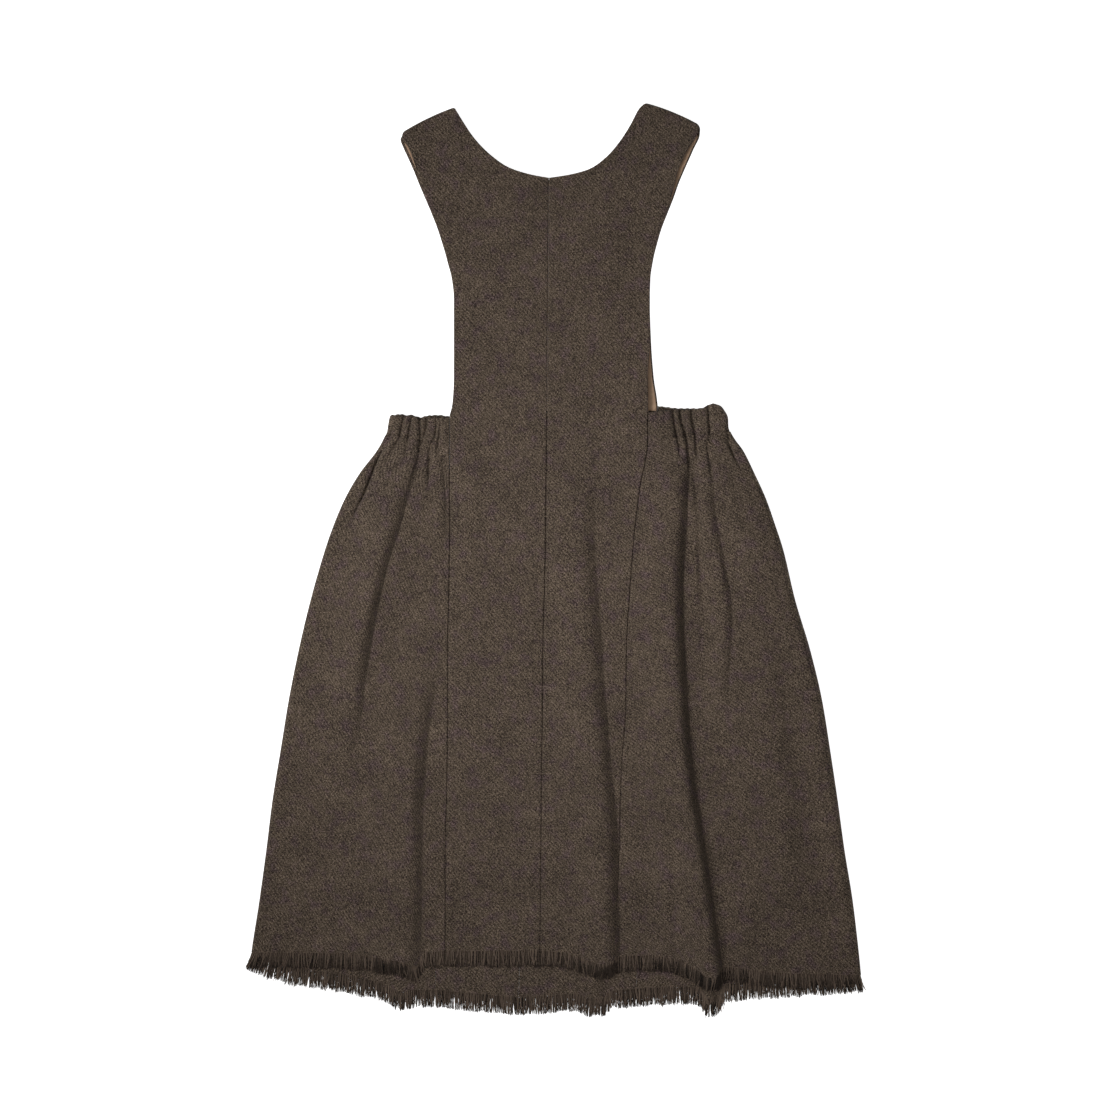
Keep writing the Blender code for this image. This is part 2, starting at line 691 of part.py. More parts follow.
SIDES = {-1: "left", 1: "right"}
LAYERS = {  # surface, seams, hem, columns, and which way the strap turns at the shoulder
    "front": (front_layer, FRONT_SEAMS, FRONT_HEM, CENTRE_COLUMNS, 1),
    "back": (back_layer, BACK_SEAMS, BACK_HEM, BACK_CENTRE_COLUMNS, -1),
}


def build():
    for obj in list(bpy.data.objects):
        bpy.data.objects.remove(obj)
    tweed = cloth_finish("wool_tweed", (0.076, 0.058, 0.046), 0.95)
    cotton = cloth_finish("cotton_lining", (0.25, 0.16, 0.10), 0.85)
    yarn = cloth_finish("frayed_yarn", (0.045, 0.034, 0.028), 0.95)
    front_hem, back_hem = [], []
    for hand in SIDES:
        front_hem.append(middle_panel("front", hand, tweed))
        back_hem.append(middle_panel("back", hand, tweed))
        lining(hand, cotton)
        front_row, back_row = side_panel(hand, tweed)
        front_hem.append(front_row)
        back_hem.append(back_row)
        casing(hand, tweed)
    fringe("front", front_hem, 11, yarn)
    fringe("back", back_hem, 12, yarn)


build()
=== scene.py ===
# %% [markdown]
# # A child's wool pinafore dress, laid out flat
# The dress lies on its back on a pale surface. Two fronts and two backs run from the shoulders to
# the hem, a wide side panel goes round each side of the skirt, and an elastic casing gathers each
# side at the waist. The hem is left raw and has frayed into a fringe.
# The fixed solid model is loaded first. Each piece of cloth below is made again at a fine pitch on
# the same form, in the same place, and stands for its solid.

# %% Load the fixed model
import math
from collections import namedtuple

import bmesh
import bpy
import numpy as np
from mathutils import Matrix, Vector


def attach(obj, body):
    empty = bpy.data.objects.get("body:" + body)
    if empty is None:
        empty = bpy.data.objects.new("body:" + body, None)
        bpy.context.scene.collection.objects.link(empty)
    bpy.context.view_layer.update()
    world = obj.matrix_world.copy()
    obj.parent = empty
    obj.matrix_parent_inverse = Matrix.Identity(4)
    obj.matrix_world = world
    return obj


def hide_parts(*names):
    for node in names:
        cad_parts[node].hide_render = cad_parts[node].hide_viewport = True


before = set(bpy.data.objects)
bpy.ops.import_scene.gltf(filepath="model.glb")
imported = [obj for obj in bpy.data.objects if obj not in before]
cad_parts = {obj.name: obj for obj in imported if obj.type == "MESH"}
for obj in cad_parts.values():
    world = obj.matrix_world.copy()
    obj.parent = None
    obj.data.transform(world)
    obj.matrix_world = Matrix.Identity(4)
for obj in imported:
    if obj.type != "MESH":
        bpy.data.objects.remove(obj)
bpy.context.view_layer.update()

print("solid pieces:", ", ".join(sorted(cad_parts)))

# %% [markdown]
# ## Sizes
# A garment is drafted as flat shapes, so everything is measured in millimetres on the flat: seams
# and outlines are short tables of where an edge lies at a few heights, and smooth curves run
# through them. +X is right, +Y points to the shoulders and +Z is up from the surface.

# %% Cloth and grid sizes
MM = 0.001
TWEED = 1.5  # thickness of the wool cloth
LINING = 1.0
CASING = 4.0  # two layers of tweed with the elastic between them
SEAM_GAP = {"front": 0.5, "back": 0.02}  # between pieces that a seam joins
LINING_GAP = 0.3  # between the back and its lining
LINING_INSET = 1.2  # of the lining from the neck edge of the back
STEEPNESS = 3.0  # how strongly the columns close up where the cloth is steep
UNDERNEATH = 0.45  # how close they are where the cloth faces down
FINE = 401  # samples across a row before its columns are spread
EDGE_STEPS = (0.0, 0.15, 0.45, 0.9, 1.5, 2.4)  # distances from an edge at which the grid has lines
Edge = namedtuple("Edge", "radius left")  # mm, and the share of the thickness left at the very edge
RAW, TURNED, FOLDED = Edge(0.5, 0.35), Edge(0.9, 0.2), Edge(2.0, 0.15)
CENTRE_SEAM, SIDE_SEAM, LAPPED = Edge(1.3, 0.15), Edge(1.2, 0.3), Edge(0.4, 0.8)

# %% The outline
OUTLINE = (  # y, left x, right x
    (-332, -246.0, 244.0),
    (-312, -243.5, 242.0),
    (-270, -237.0, 237.0),
    (-230, -231.5, 230.5),
    (-190, -226.5, 225.0),
    (-150, -220.0, 219.0),
    (-110, -213.5, 212.5),
    (-70, -205.5, 203.0),
    (-30, -196.0, 191.0),
    (10, -184.5, 181.5),
    (30, -177.5, 175.0),
    (50, -169.0, 168.0),
    (70, -157.5, 159.0),
    (90, -142.5, 149.0),
    (98, -138.0, 143.0),
    (106, -135.0, 139.0),
    (115, -133.0, 138.0),
    (122, -131.0, 134.0),
    (127, -129.5, 128.5),
)
for end, (_, left, right) in (("hem", OUTLINE[0]), ("waist", OUTLINE[-1])):
    print("width at the", end, right - left, "mm")

# %% The seams
FRONT_SEAMS = (  # y, left x, centre x, right x
    (-335, -89.0, -13.0, 45.0),
    (-290, -88.5, -12.6, 46.5),
    (-246, -88.5, -12.2, 50.0),
    (-165, -87.0, -11.4, 52.4),
    (-122, -86.5, -10.8, 55.6),
    (-65, -86.5, -10.4, 56.6),
    (-22, -85.5, -9.2, 59.0),
    (18, -85.0, -8.4, 62.0),
    (58, -85.0, -8.0, 66.6),
    (98, -85.0, -7.4, 73.2),
    (120, -85.0, -7.2, 73.5),
)
BACK_SEAMS = (
    (-350, -97.0, -30.0, 64.0),
    (-150, -92.0, -24.0, 70.0),
    (0, -88.0, -16.0, 76.0),
    (98, -85.0, -8.5, 81.0),
    (120, -85.0, -7.6, 81.5),
)
for layer, seams in (("front", FRONT_SEAMS), ("back", BACK_SEAMS)):
    print("middle of the", layer, "at the waist", seams[-1][3] - seams[-1][1], "mm wide")

# %% The waist and the top of the casings
WAIST_LINE = ((-138, 102.0), (-85, 93.0), (73.5, 98.5), (144, 105.0))  # x, y
CASING_TOP = (  # x, front y, back y
    (-133.5, 111.5, 112.0),
    (-131.5, 115.2, 115.4),
    (-129, 117.3, 117.4),
    (-124, 118.0, 118.2),
    (-119.5, 116.6, 117.4),
    (-115.5, 117.2, 117.6),
    (-111.5, 115.2, 116.4),
    (-108.5, 113.9, 115.6),
    (-103, 114.9, 117.0),
    (-94, 115.4, 117.5),
    (-85, 115.2, 116.4),
    (73, 119.5, 125.5),
    (84, 121.0, 124.4),
    (100, 121.6, 122.8),
    (114, 122.5, 122.8),
    (125, 126.5, 126.5),
    (131.5, 123.6, 123.6),
    (136, 118.0, 118.0),
)
print("casings up to y =", max(row[1] for row in CASING_TOP), "mm")

# %% The hems
FRONT_HEM = (  # x, y
    (-242, -312.0),
    (-181, -312.5),
    (-149, -315.0),
    (-125, -319.0),
    (-114, -323.0),
    (-104, -312.5),
    (-89, -311.0),
    (-12, -311.0),
    (3, -312.0),
    (19, -316.0),
    (37, -321.0),
    (48, -316.0),
    (75, -314.5),
    (95, -317.0),
    (107, -323.0),
    (121, -331.0),
    (134, -323.5),
    (155, -325.5),
    (195, -329.0),
    (242, -330.0),
)
BACK_HEM = (
    (-242, -312.0),
    (-225, -320.0),
    (-205, -325.0),
    (-165, -331.0),
    (-137, -338.0),
    (-125, -344.0),
    (-112, -342.0),
    (-61, -345.5),
    (-29, -348.0),
    (18, -345.5),
    (26, -349.0),
    (38, -349.0),
    (44, -343.0),
    (107, -340.0),
    (116, -342.0),
    (120, -349.0),
    (129, -349.0),
    (135, -338.0),
    (195, -333.5),
    (242, -330.0),
)
for layer, hem in (("front", FRONT_HEM), ("back", BACK_HEM)):
    print("the", layer, "hem reaches down to y =", min(row[1] for row in hem), "mm")

# %% The bib and the armholes
ARMHOLE = (  # y, then x of the front on the left and right, and of the back on the left and right
    (98, -85.0, 73.5, -85.0, 81.0),
    (118, -85.0, 73.5, -85.0, 81.5),
    (122, -83.5, 73.5, -83.5, 81.5),
    (130, -82.4, 73.4, -82.4, 80.8),
    (147, -81.6, 73.2, -81.6, 78.2),
    (177, -81.6, 75.0, -81.6, 76.0),
    (210, -81.6, 75.0, -81.6, 75.0),
    (226, -83.2, 75.4, -83.2, 75.4),
    (240, -86.8, 77.0, -86.8, 77.4),
    (250, -89.4, 79.0, -89.4, 79.5),
)
BIB_LOW, BIB_HIGH = 118.0, 250.0
NECK_Y = {"front": 307.0, "back": 305.5}
BIB_CENTRE = (-7.2, -5.6)  # x of the centre seam at the waist and at the neck
print("front bib:", min(row[2] - row[1] for row in ARMHOLE), "mm wide,", NECK_Y["front"] - BIB_LOW, "high")

# %% The straps
ON_SEAM = 2  # rows of a strap's table whose neck point is on the centre seam
STRAPS = {  # armhole x, y, neck x, y, and how far the middle of the row bows to the shoulder
    "front_left": (
        (-94.4, 265.5, -5.8, 285.0, 0),
        (-100.0, 280.0, -5.6, 307.0, 0),
        (-104.0, 290.5, -19.0, 309.4, 0),
        (-107.6, 301.0, -37.0, 315.0, 0),
        (-111.2, 312.0, -53.0, 326.0, 0),
        (-114.4, 322.5, -65.5, 339.0, 0),
        (-118.4, 332.0, -74.0, 351.5, 0.6),
        (-122.8, 337.5, -78.6, 359.0, 1.2),
        (-123.0, 341.0, -80.2, 361.6, 1.4),
    ),
    "front_right": (
        (84.0, 265.5, -5.8, 285.0, 0),
        (88.8, 280.0, -5.6, 307.0, 0),
        (92.0, 291.0, 11.0, 309.6, 0),
        (94.8, 301.5, 26.5, 314.0, 0),
        (97.6, 313.0, 40.0, 323.5, 0),
        (101.6, 322.0, 50.5, 335.5, 1),
        (105.6, 330.0, 59.0, 348.5, 2),
        (112.0, 340.0, 66.2, 362.0, 1.8),
        (114.8, 347.0, 69.6, 365.4, 1.6),
    ),
    "back_left": (
        (-94.4, 265.5, -5.8, 284.0, 0),
        (-100.0, 280.0, -5.6, 305.5, 0),
        (-104.5, 290.5, -19.0, 308.0, 0),
        (-109.0, 301.0, -37.0, 313.5, 0),
        (-113.4, 312.0, -53.5, 324.5, 0),
        (-118.0, 322.5, -66.5, 337.5, 0),
        (-122.4, 332.0, -75.0, 350.5, 0.6),
        (-124.4, 337.7, -79.2, 358.5, 1.2),
        (-123.0, 341.0, -80.2, 361.6, 1.4),
    ),
    "back_right": (
        (84.0, 265.5, -5.8, 284.0, 0),
        (89.6, 280.0, -5.6, 305.5, 0),
        (94.0, 291.0, 11.0, 308.4, 0),
        (98.0, 302.5, 26.5, 312.6, 0),
        (102.4, 313.0, 40.5, 322.0, 0),
        (106.4, 322.0, 51.5, 334.0, 1),
        (110.4, 331.0, 60.0, 347.5, 2),
        (114.8, 340.5, 66.7, 361.0, 1.8),
        (115.4, 347.0, 69.6, 365.4, 1.6),
    ),
}

# %% [markdown]
# ## Folds
# Cloth that is wider at the hem than at the waist stands up in pipes. Each fold is a crest line with
# a height along it, which falls away over one width to its left and another to its right. A pipe
# leans over its narrow side, and a groove is a fold with a height below zero. A cloth simulation
# would put the folds where it likes. Drawing the crests one by one keeps each in its own place,
# length and depth.

# %% Heights of the front layer
CASING_REACH = 125.0  # y at which the side folds and gathers end, inside the casing
LIE = ((-335, 3.1), (-150, 3.1), (0, 3.6), (60, 4.4), (95, 4.7), (118, 4.6), (150, 4.0), (370, 3.9))
WAIST_LIFT = ((-335, 0.0), (0, 0.3), (60, 1.2), (95, 1.6), (120, 1.7), (150, 0.6), (200, 0.0))
WAIST_MIDDLE = -6.0
WAIST_LIFT_FROM, WAIST_LIFT_TO = 30.0, 78.0  # mm from the middle over which it lifts
SIDE_HEIGHT = ((-335, 5.5), (-200, 6.5), (0, 6.5), (55, 4.8), (95, 6.3), (125, 6.3))
SIDE_CREST, SIDE_PUFF = 3.0, 28.0  # mm from the outline at which the side is highest and lies flat again
print("the front lies", LIE[0][1], "to", max(height for _, height in LIE), "mm above the surface")

# %% Pipes of the skirt
Fold = namedtuple("Fold", "left right lean path")  # the path's rows are y, x, height
FOLDS = {
    "left_pipe": Fold(
        left=34, right=12.5, lean=0.28,
        path=(
            (-158, -173, 0), (-126, -168, 3.5), (-86, -163, 7.2), (-46, -156.4, 9.6),
            (-6, -147.5, 11), (34, -135, 11.4), (50, -131, 10.6), (66, -125, 8.4), (82, -119.6, 6.4),
            (92, -117.6, 4.5), (104, -115, 0),
        ),
    ),
    "left_hem_pipe": Fold(
        left=40, right=15.5, lean=0.25,
        path=(
            (-324, -124, 9.6), (-270, -122.4, 9), (-222, -122, 9), (-174, -120, 9),
            (-126, -115.6, 8.2), (-104, -111.5, 5), (-80, -107, 1.5), (-60, -104, 0),
        ),
    ),
    "front_pipe": Fold(
        left=32, right=14, lean=0.2,
        path=(
            (-322, 37, 10), (-222, 35.5, 8.8), (-162, 30.5, 8.2), (-102, 25.5, 7.6), (-38, 21, 6.3),
            (18, 17.5, 5.2), (50, 17.5, 3), (78, 18, 0),
        ),
    ),
    "right_pipe": Fold(
        left=34, right=13, lean=0.26,
        path=(
            (-330, 121, 14.5), (-222, 105.6, 12.8), (-162, 96.4, 11.8), (-102, 91.8, 10.8),
            (-22, 88.8, 9.2), (38, 92, 8.2), (66, 94, 7.5), (92, 97, 4), (106, 99, 0),
        ),
    ),
}

# %% Smaller gathers and the right border
FOLDS |= {
    "right_gather": Fold(
        left=14, right=8, lean=0.2,
        path=(
            (-134, 128, 0), (-102, 130.4, 2), (-42, 132.8, 4), (2, 126.4, 4), (50, 118.4, 3),
            (92, 118, 1.5), (112, 118, 0),
        ),
    ),
    "right_hem_gather": Fold(
        left=14, right=9, lean=0.1,
        path=(
            (-316, 86.4, 4), (-270, 85, 4), (-222, 83, 3), (-174, 79, 0),
        ),
    ),
    "far_right_gather": Fold(
        left=22, right=14, lean=0.1,
        path=(
            (-270, 187, 0), (-222, 185.6, 2), (-158, 179, 2), (-110, 172, 2.5), (-62, 169.6, 0),
        ),
    ),
    "right_border_slope": Fold(
        left=22, right=26, lean=0.0,
        path=(
            (80, 142, 0), (50, 148, 3), (18, 154, 4), (-30, 162, 3.2), (-70, 168, 0),
        ),
    ),
    "right_border_roll": Fold(
        left=14, right=6, lean=0.0,
        path=(
            (-332, 236.5, 1.3), (-270, 229.5, 1.3), (-190, 217.5, 1.3), (-110, 205, 1.3),
            (-30, 183.5, 1.0), (20, 171, 0),
        ),
    ),
}

# %% Swells, and the lap at the left side
FOLDS |= {
    "left_swell": Fold(
        left=62, right=50, lean=0.0,
        path=(
            (-314, -178, 3), (-200, -176, 4), (-80, -172, 3), (0, -160, 0),
        ),
    ),
    "right_swell": Fold(
        left=45, right=70, lean=0.0,
        path=(
            (-330, 172, 3.5), (-200, 168, 3.5), (-60, 156, 3.8), (40, 142, 2.5), (92, 130, 0),
        ),
    ),
    "left_side_groove": Fold(
        left=6, right=3, lean=0.0,
        path=(
            (28, -167, 0), (44, -158.8, -2.2), (57, -152.2, -2.6), (70, -147.4, -2.6), (84, -142, -2),
            (98, -137, 0),
        ),
    ),
    "left_side_lap": Fold(
        left=3, right=18, lean=-0.6,
        path=(
            (20, -166, 0), (44, -155.4, 1.6), (57, -148.8, 2.2), (70, -144, 2.2), (84, -138.6, 1.6),
            (98, -134, 0),
        ),
    ),
}

# %% Soft ridges and raised edges
FOLDS |= {
    "left_shelf": Fold(
        left=12, right=20, lean=0.0,
        path=(
            (84, -107, 0), (66, -112, 2.4), (50, -117, 3.4), (18, -126, 3.6), (-14, -135, 2),
            (-44, -146, 0),
        ),
    ),
    "left_seam_ridge": Fold(
        left=7, right=4, lean=0.2,
        path=(
            (96, -94.5, 0), (80, -94.5, 1.2), (50, -92, 1.8), (20, -92, 0.8), (-10, -92, 0),
        ),
    ),
    "front_left_hollow": Fold(
        left=11, right=11, lean=0.0,
        path=(
            (-40, -56, 0), (-6, -56, -0.8), (34, -55, -1.0), (74, -55, 0),
        ),
    ),
    "armhole_edge": Fold(
        left=26, right=26, lean=0.0,
        path=(
            (118, 75, 0), (140, 75, 2.2), (175, 76, 1.8), (215, 76, 0),
        ),
    ),
    "strap_edge": Fold(
        left=20, right=20, lean=0.0,
        path=(
            (285, 94, 0), (315, 99, 1.6), (335, 108, 1.2), (344, 112, 0),
        ),
    ),
}
print(len(FOLDS), "folds, the highest", max(row[2] for fold in FOLDS.values() for row in fold.path), "mm")

# %% Pinches of the casings
PINCH_WIDTH, PINCH_CLEFT = 3.2, 1.4  # half widths of a pinch's soft valley and of its sharp cleft
PINCH_PARTS = (0.8, 1.5)  # share of the depth in each
CLEFT_LEFT = 0.45  # thickness that is left under a cleft
SCALLOP = 0.35  # dip of the casing's top edge at a pinch, as a share of the pinch's depth
PINCHES = (  # rows along each are y, x, depth
    (
        (74, -138.6, 0), (82, -134.6, -1.4), (88, -131.8, -1.8), (94, -128.2, -2.2),
        (100, -124.9, -1.8), (108, -123, -2.2), (117, -121.6, -1.6),
    ),
    (
        (82, -121, 0), (88, -119.8, -1.0), (94.6, -118.7, -1.4), (101, -117.7, -1.6),
        (107.5, -116.6, -1.6), (117, -115, -1.0),
    ),
    (
        (58, -119, 0), (70, -114, -1.4), (81, -111.2, -2.2), (86.6, -110.2, -2.2), (94.6, -109, -2.2),
        (101, -108.2, -1.6), (107, -108.6, -1.6), (117, -109.4, -1.0),
    ),
    (
        (92, -109.5, 0), (96, -107, -1.6), (101.8, -105, -2.2), (106, -104, -2.2), (112, -103.2, -1.4),
        (117, -103, -0.6),
    ),
    (
        (58, -102, 0), (70, -101.6, -1.6), (80, -101.4, -2.3), (86.6, -101.4, -2.2), (92, -100.2, -1.8),
        (101.8, -96.3, -1.5), (109, -95.6, -1.2), (117, -95.4, -0.5),
    ),
    (
        (86, -95, 0), (91, -94.4, -1.6), (94.6, -94.2, -1.8), (101, -93.1, -1.5), (108, -92.4, -0.8),
        (117, -92, -0.4),
    ),
    (
        (82, 98.6, 0), (90, 98.1, -1.4), (97.5, 96.9, -1.6), (104.7, 95.7, -1.8), (112.7, 94.5, -1.8),
        (122, 93.2, -1.2),
    ),
    (
        (70, 106.4, 0), (85.4, 105.3, -2.0), (95.9, 104.1, -2.2), (103.9, 102.9, -2.2),
        (111.9, 100.5, -1.8), (122, 98.8, -1.2),
    ),
    (
        (80, 112.6, 0), (90.2, 112.2, -2.0), (99.9, 111.4, -2.2), (104.7, 111, -2.2),
        (112.7, 109, -2.0), (122, 108, -1.4),
    ),
    (
        (66, 123.6, 0), (78, 123, -0.9), (90, 121, -1.0), (97.5, 121.8, -1.4), (104.7, 123, -1.8),
        (112.8, 122.2, -1.6), (124, 121.8, -1.0),
    ),
    (
        (76, 147, 0), (81, 144, -1.6), (87, 141, -2.0), (96, 138.2, -1.8), (104.7, 137, -1.6),
        (112.7, 136.2, -1.2), (120, 135.6, 0),
    ),
    (  # the groove beside the lap on the left
        (34, -164, 0), (44, -158.8, -1.5), (57, -152.4, -2.5), (70, -147.4, -2.7), (84, -141.4, -2.8),
        (95, -135.4, -2.4), (104, -131.6, -1.2), (110, -130, 0),
    ),
)
print(len(PINCHES), "pinches, the deepest", min(row[2] for path in PINCHES for row in path), "mm")

# %% Creases too soft for the solids, and pleats of the back hem
CREASES = (  # a half width, then rows y, x, height
    (7, ((28, 116.5, 0), (0, 118.5, -0.8), (-42, 119.5, -0.9), (-66, 119, 0))),
    (9, ((-84, 174, 0), (-112, 178, -0.9), (-150, 183, -0.5), (-190, 188, -0.6), (-236, 192, 0))),
    (6, ((88, -87, 0), (70, -88, -0.5), (30, -89, -0.5), (-10, -89, 0))),
    (9, ((-96, -44, 0), (-122, -44, -0.45), (-150, -45, 0))),
    (10, ((-226, -126, 0), (-270, -128, 0.5), (-318, -130, 0.6))),
    (12, ((-80, -152, 0), (-110, -160, 0.8), (-138, -166, 0.8), (-176, -170, 0))),
    (8, ((-196, 93, 0), (-240, 96, -0.8), (-300, 101, -0.8), (-330, 106, -0.4))),
    (10, ((60, 4, 0), (28, 2, 0.4), (-30, 3, 0.5), (-90, 6, 0))),
    (16, ((300, 12, 0), (240, 10, 0.35), (180, 9, 0.3), (130, 10, 0))),
    (8, ((84, -150, 0), (60, -162, 0.7), (30, -173, 0.6), (-10, -184, 0))),
    (7, ((90, 132, 0), (66, 141, -0.7), (34, 152, -0.8), (-8, 163, 0))),
    (4.5, ((92, 111.5, 0), (74, 111, -2), (50, 113, -2.4), (18, 114.8, -2.1), (-30, 116, -1), (-62, 116, 0))),
    (8, ((-110, 171, 0), (-128, 173, -0.9), (-150, 175, -0.6), (-180, 176, 0))),
)
BACK_PLEATS = (
    (9, ((-344, -125, 3.0), (-300, -124, 1.5), (-255, -122, 0))),
    (8, ((-349, 32, 3.5), (-300, 33, 2.0), (-255, 34, 0))),
    (6, ((-349, 123, 3.5), (-310, 122, 2.0), (-265, 120, 0))),
)

# %% [markdown]
# ## The two layers as surfaces
# The front layer is one smooth surface over the whole dress, and so is the back layer. A panel is
# the part of a surface between its seams, so neighbouring panels always meet along them.
# Slight unevenness, as in any cloth that has been worn, comes from two sizes of smooth noise that
# is stretched along the grain.

# %% Curves and soft noise
def curve(xs, ys, x):
    """The smooth curve through the points xs, ys, with no overshoot, at x."""
    xs, ys = np.asarray(xs, float), np.asarray(ys, float)
    step = np.diff(xs)
    slope = np.diff(ys) / step
    tangent = np.concatenate([slope[:1], np.zeros(len(slope) - 1), slope[-1:]])
    same = slope[:-1] * slope[1:] > 0
    mean = 2 * slope[:-1] * slope[1:] / np.where(same, slope[:-1] + slope[1:], 1)
    tangent[1:-1] = np.where(same, mean, 0)
    x = np.clip(x, xs[0], xs[-1])
    k = np.clip(np.searchsorted(xs, x) - 1, 0, len(step) - 1)
    t = (x - xs[k]) / step[k]
    rise = ys[k] + (3 * t**2 - 2 * t**3) * (ys[k + 1] - ys[k])
    return rise + step[k] * ((t**3 - 2 * t**2 + t) * tangent[k] + (t**3 - t**2) * tangent[k + 1])


def column(table, number, x):
    """A table's column at x, where the table's first column is the one that x runs along."""
    rows = sorted(table)
    return curve([r[0] for r in rows], [r[number] for r in rows], x)


def bump(s):
    """1 at s = 0, falling smoothly to 0 at s = -1 and s = 1."""
    return np.where(np.abs(s) < 1, (1 - np.clip(s, -1, 1) ** 2) ** 2, 0)


def pipe(s):
    """The same with a rounder top and steeper sides, for the side of a fold that turns under."""
    return (1 - np.clip(s, -1, 1) ** 2) ** 1.4


def cleft(s):
    """1 at s = 0, falling to 0 at s = -1 and s = 1, with a sharp bottom."""
    return (1 - np.clip(np.abs(s), 0, 1)) ** 1.3


def smoothstep(low, high, x):
    """0 up to low and 1 from high on, with a smooth rise between them."""
    t = np.clip((x - low) / (high - low), 0, 1)
    return t * t * (3 - 2 * t)


def mix(a, b, share):
    """The value at a share of the way from a to b."""
    return a + (b - a) * share


LATTICE = 97


def soft_noise(x, y, across, along, seed):
    """Smooth random values from -1 to 1, in patches of the given width and length."""
    values = np.random.default_rng(seed).uniform(-1, 1, (LATTICE, LATTICE))
    u, v = np.asarray(x) / across, np.asarray(y) / along
    i, j = np.floor(u).astype(int), np.floor(v).astype(int)
    s, t = smoothstep(0, 1, u - i), smoothstep(0, 1, v - j)
    corner = [values[(i + a) % LATTICE, (j + b) % LATTICE] for b in (0, 1) for a in (0, 1)]
    return mix(mix(corner[0], corner[1], s), mix(corner[2], corner[3], s), t)


# %% The front and back layers
DRAPE = (0.30, 26.0, 110.0)  # height, width and length of the slow unevenness
PUCKER = (0.07, 9.0, 15.0)  # the same, of the fine one
CALM_BIB = 0.45  # share of it on the lined bib, which is stiffer
CALM_FROM = 80.0, 140.0  # y over which it calms down
UNEVEN_SEED = 5
TURNS_UNDER = 0.15  # lean from which a fold's narrow side is steep


def pinches(x, y, part=0):
    """Depth of the gathers at a place: of their soft valleys, or of their sharp clefts as part 1."""
    shape, width = ((bump, PINCH_WIDTH), (cleft, PINCH_CLEFT))[part]
    return sum(
        PINCH_PARTS[part] * column(path, 2, y) * shape((x - column(path, 1, y)) / width) for path in PINCHES
    )


def unevenness(x, y):
    """Height of the slight unevenness of worn cloth."""
    calm = mix(1, CALM_BIB, smoothstep(*CALM_FROM, y))
    return calm * sum(
        height * soft_noise(x, y, across, along, UNEVEN_SEED + number)
        for number, (height, across, along) in enumerate((DRAPE, PUCKER))
    )


def lie_height(x, y):
    """Height of the front layer's middle surface without its folds."""
    lift = column(WAIST_LIFT, 1, y) * smoothstep(WAIST_LIFT_FROM, WAIST_LIFT_TO, np.abs(x - WAIST_MIDDLE))
    flat = column(LIE, 1, y) + lift
    inside = np.minimum(x - column(OUTLINE, 1, y), column(OUTLINE, 2, y) - x)
    edge = 1 - smoothstep(SIDE_CREST, SIDE_PUFF, inside)
    return mix(flat, column(SIDE_HEIGHT, 1, y), np.where(y < CASING_REACH, edge, 0))


def front_middle(x, y):
    """A point of the front layer's middle surface, from its place before the folds lean over."""
    x, y = np.broadcast_arrays(np.asarray(x, float), np.asarray(y, float))
    height, lean = lie_height(x, y) + np.where(y < CASING_REACH, pinches(x, y), 0), np.zeros_like(x)
    for fold in FOLDS.values():
        crest = column(fold.path, 1, y)
        turned = (pipe if fold.lean > TURNS_UNDER else bump)((x - crest) / fold.right)
        shape = np.where(x < crest, bump((x - crest) / fold.left), turned)
        rise = column(fold.path, 2, y) * shape
        height, lean = height + rise, lean + fold.lean * rise
    for half, path in CREASES:
        height = height + column(path, 2, y) * bump((x - column(path, 1, y)) / half)
    return np.stack([x + lean, y, height + unevenness(x, y)], axis=-1)


def front_layer(x, y):
    """Points and normals of the front layer."""
    step = TWEED / 2
    across = front_middle(x + step, y) - front_middle(x - step, y)
    along = front_middle(x, y + step) - front_middle(x, y - step)
    normal = np.cross(across, along)
    return front_middle(x, y), normal / np.linalg.norm(normal, axis=-1, keepdims=True)


def back_layer(x, y):
    """Points and normals of the back layer, which lies on the surface but for its small pleats."""
    x, y = np.broadcast_arrays(np.asarray(x, float), np.asarray(y, float))
    height = np.full_like(x, TWEED / 2)
    for half, path in BACK_PLEATS:
        height = height + column(path, 2, y) * bump((x - column(path, 1, y)) / half)
    return np.stack([x, y, height], axis=-1), np.broadcast_to((0.0, 0.0, 1.0), x.shape + (3,))


# %% [markdown]
# ## From a surface to a piece of cloth
# A piece is a grid that follows the cloth from edge to edge. Its lines close up at the edges, so
# that they can be rounded: two rounded edges side by side are what a pressed seam looks like.
# The grid itself comes from the grid operator and its thickness from an extrusion, so the mesh is
# closed by construction. Its points are then laid on the cloth. The UV map is the cloth's own flat
# measure in metres, with V along the grain, and the weave is drawn on it.

# %% Lay a grid on the cloth
def spread(length, count, start=True, end=True):
    """Places from 0 to a length, evenly spaced but for the closer ones at either end."""
    steps = np.array(EDGE_STEPS)
    head = steps[:-1] if start else steps[:0]
    tail = length - steps[-2::-1] if end else steps[:0]
    low = steps[-1] if start else 0.0
    high = length - steps[-1] if end else length
    return np.concatenate([head, np.linspace(low, high, count - len(head) - len(tail)), tail])


def spread_columns(points, normals, columns):
    """Each row of samples again at the columns, closer where it is steep and fewer underneath."""
    run = np.linalg.norm(np.diff(points, axis=1) * (1, 1, STEEPNESS), axis=-1)
    run = run * np.where(normals[:, 1:, 2] < 0, UNDERNEATH, 1)
    along = np.pad(np.cumsum(run, axis=1), ((0, 0), (1, 0)))
    rows = []
    for place, point, normal in zip(along, points, normals):
        at = spread(place[-1], columns)
        rows.append([np.interp(at, place, values) for values in (*point.T, *normal.T)])
    laid = np.moveaxis(np.array(rows), 1, 2)
    return laid[..., :3], laid[..., 3:] / np.linalg.norm(laid[..., 3:], axis=-1, keepdims=True)


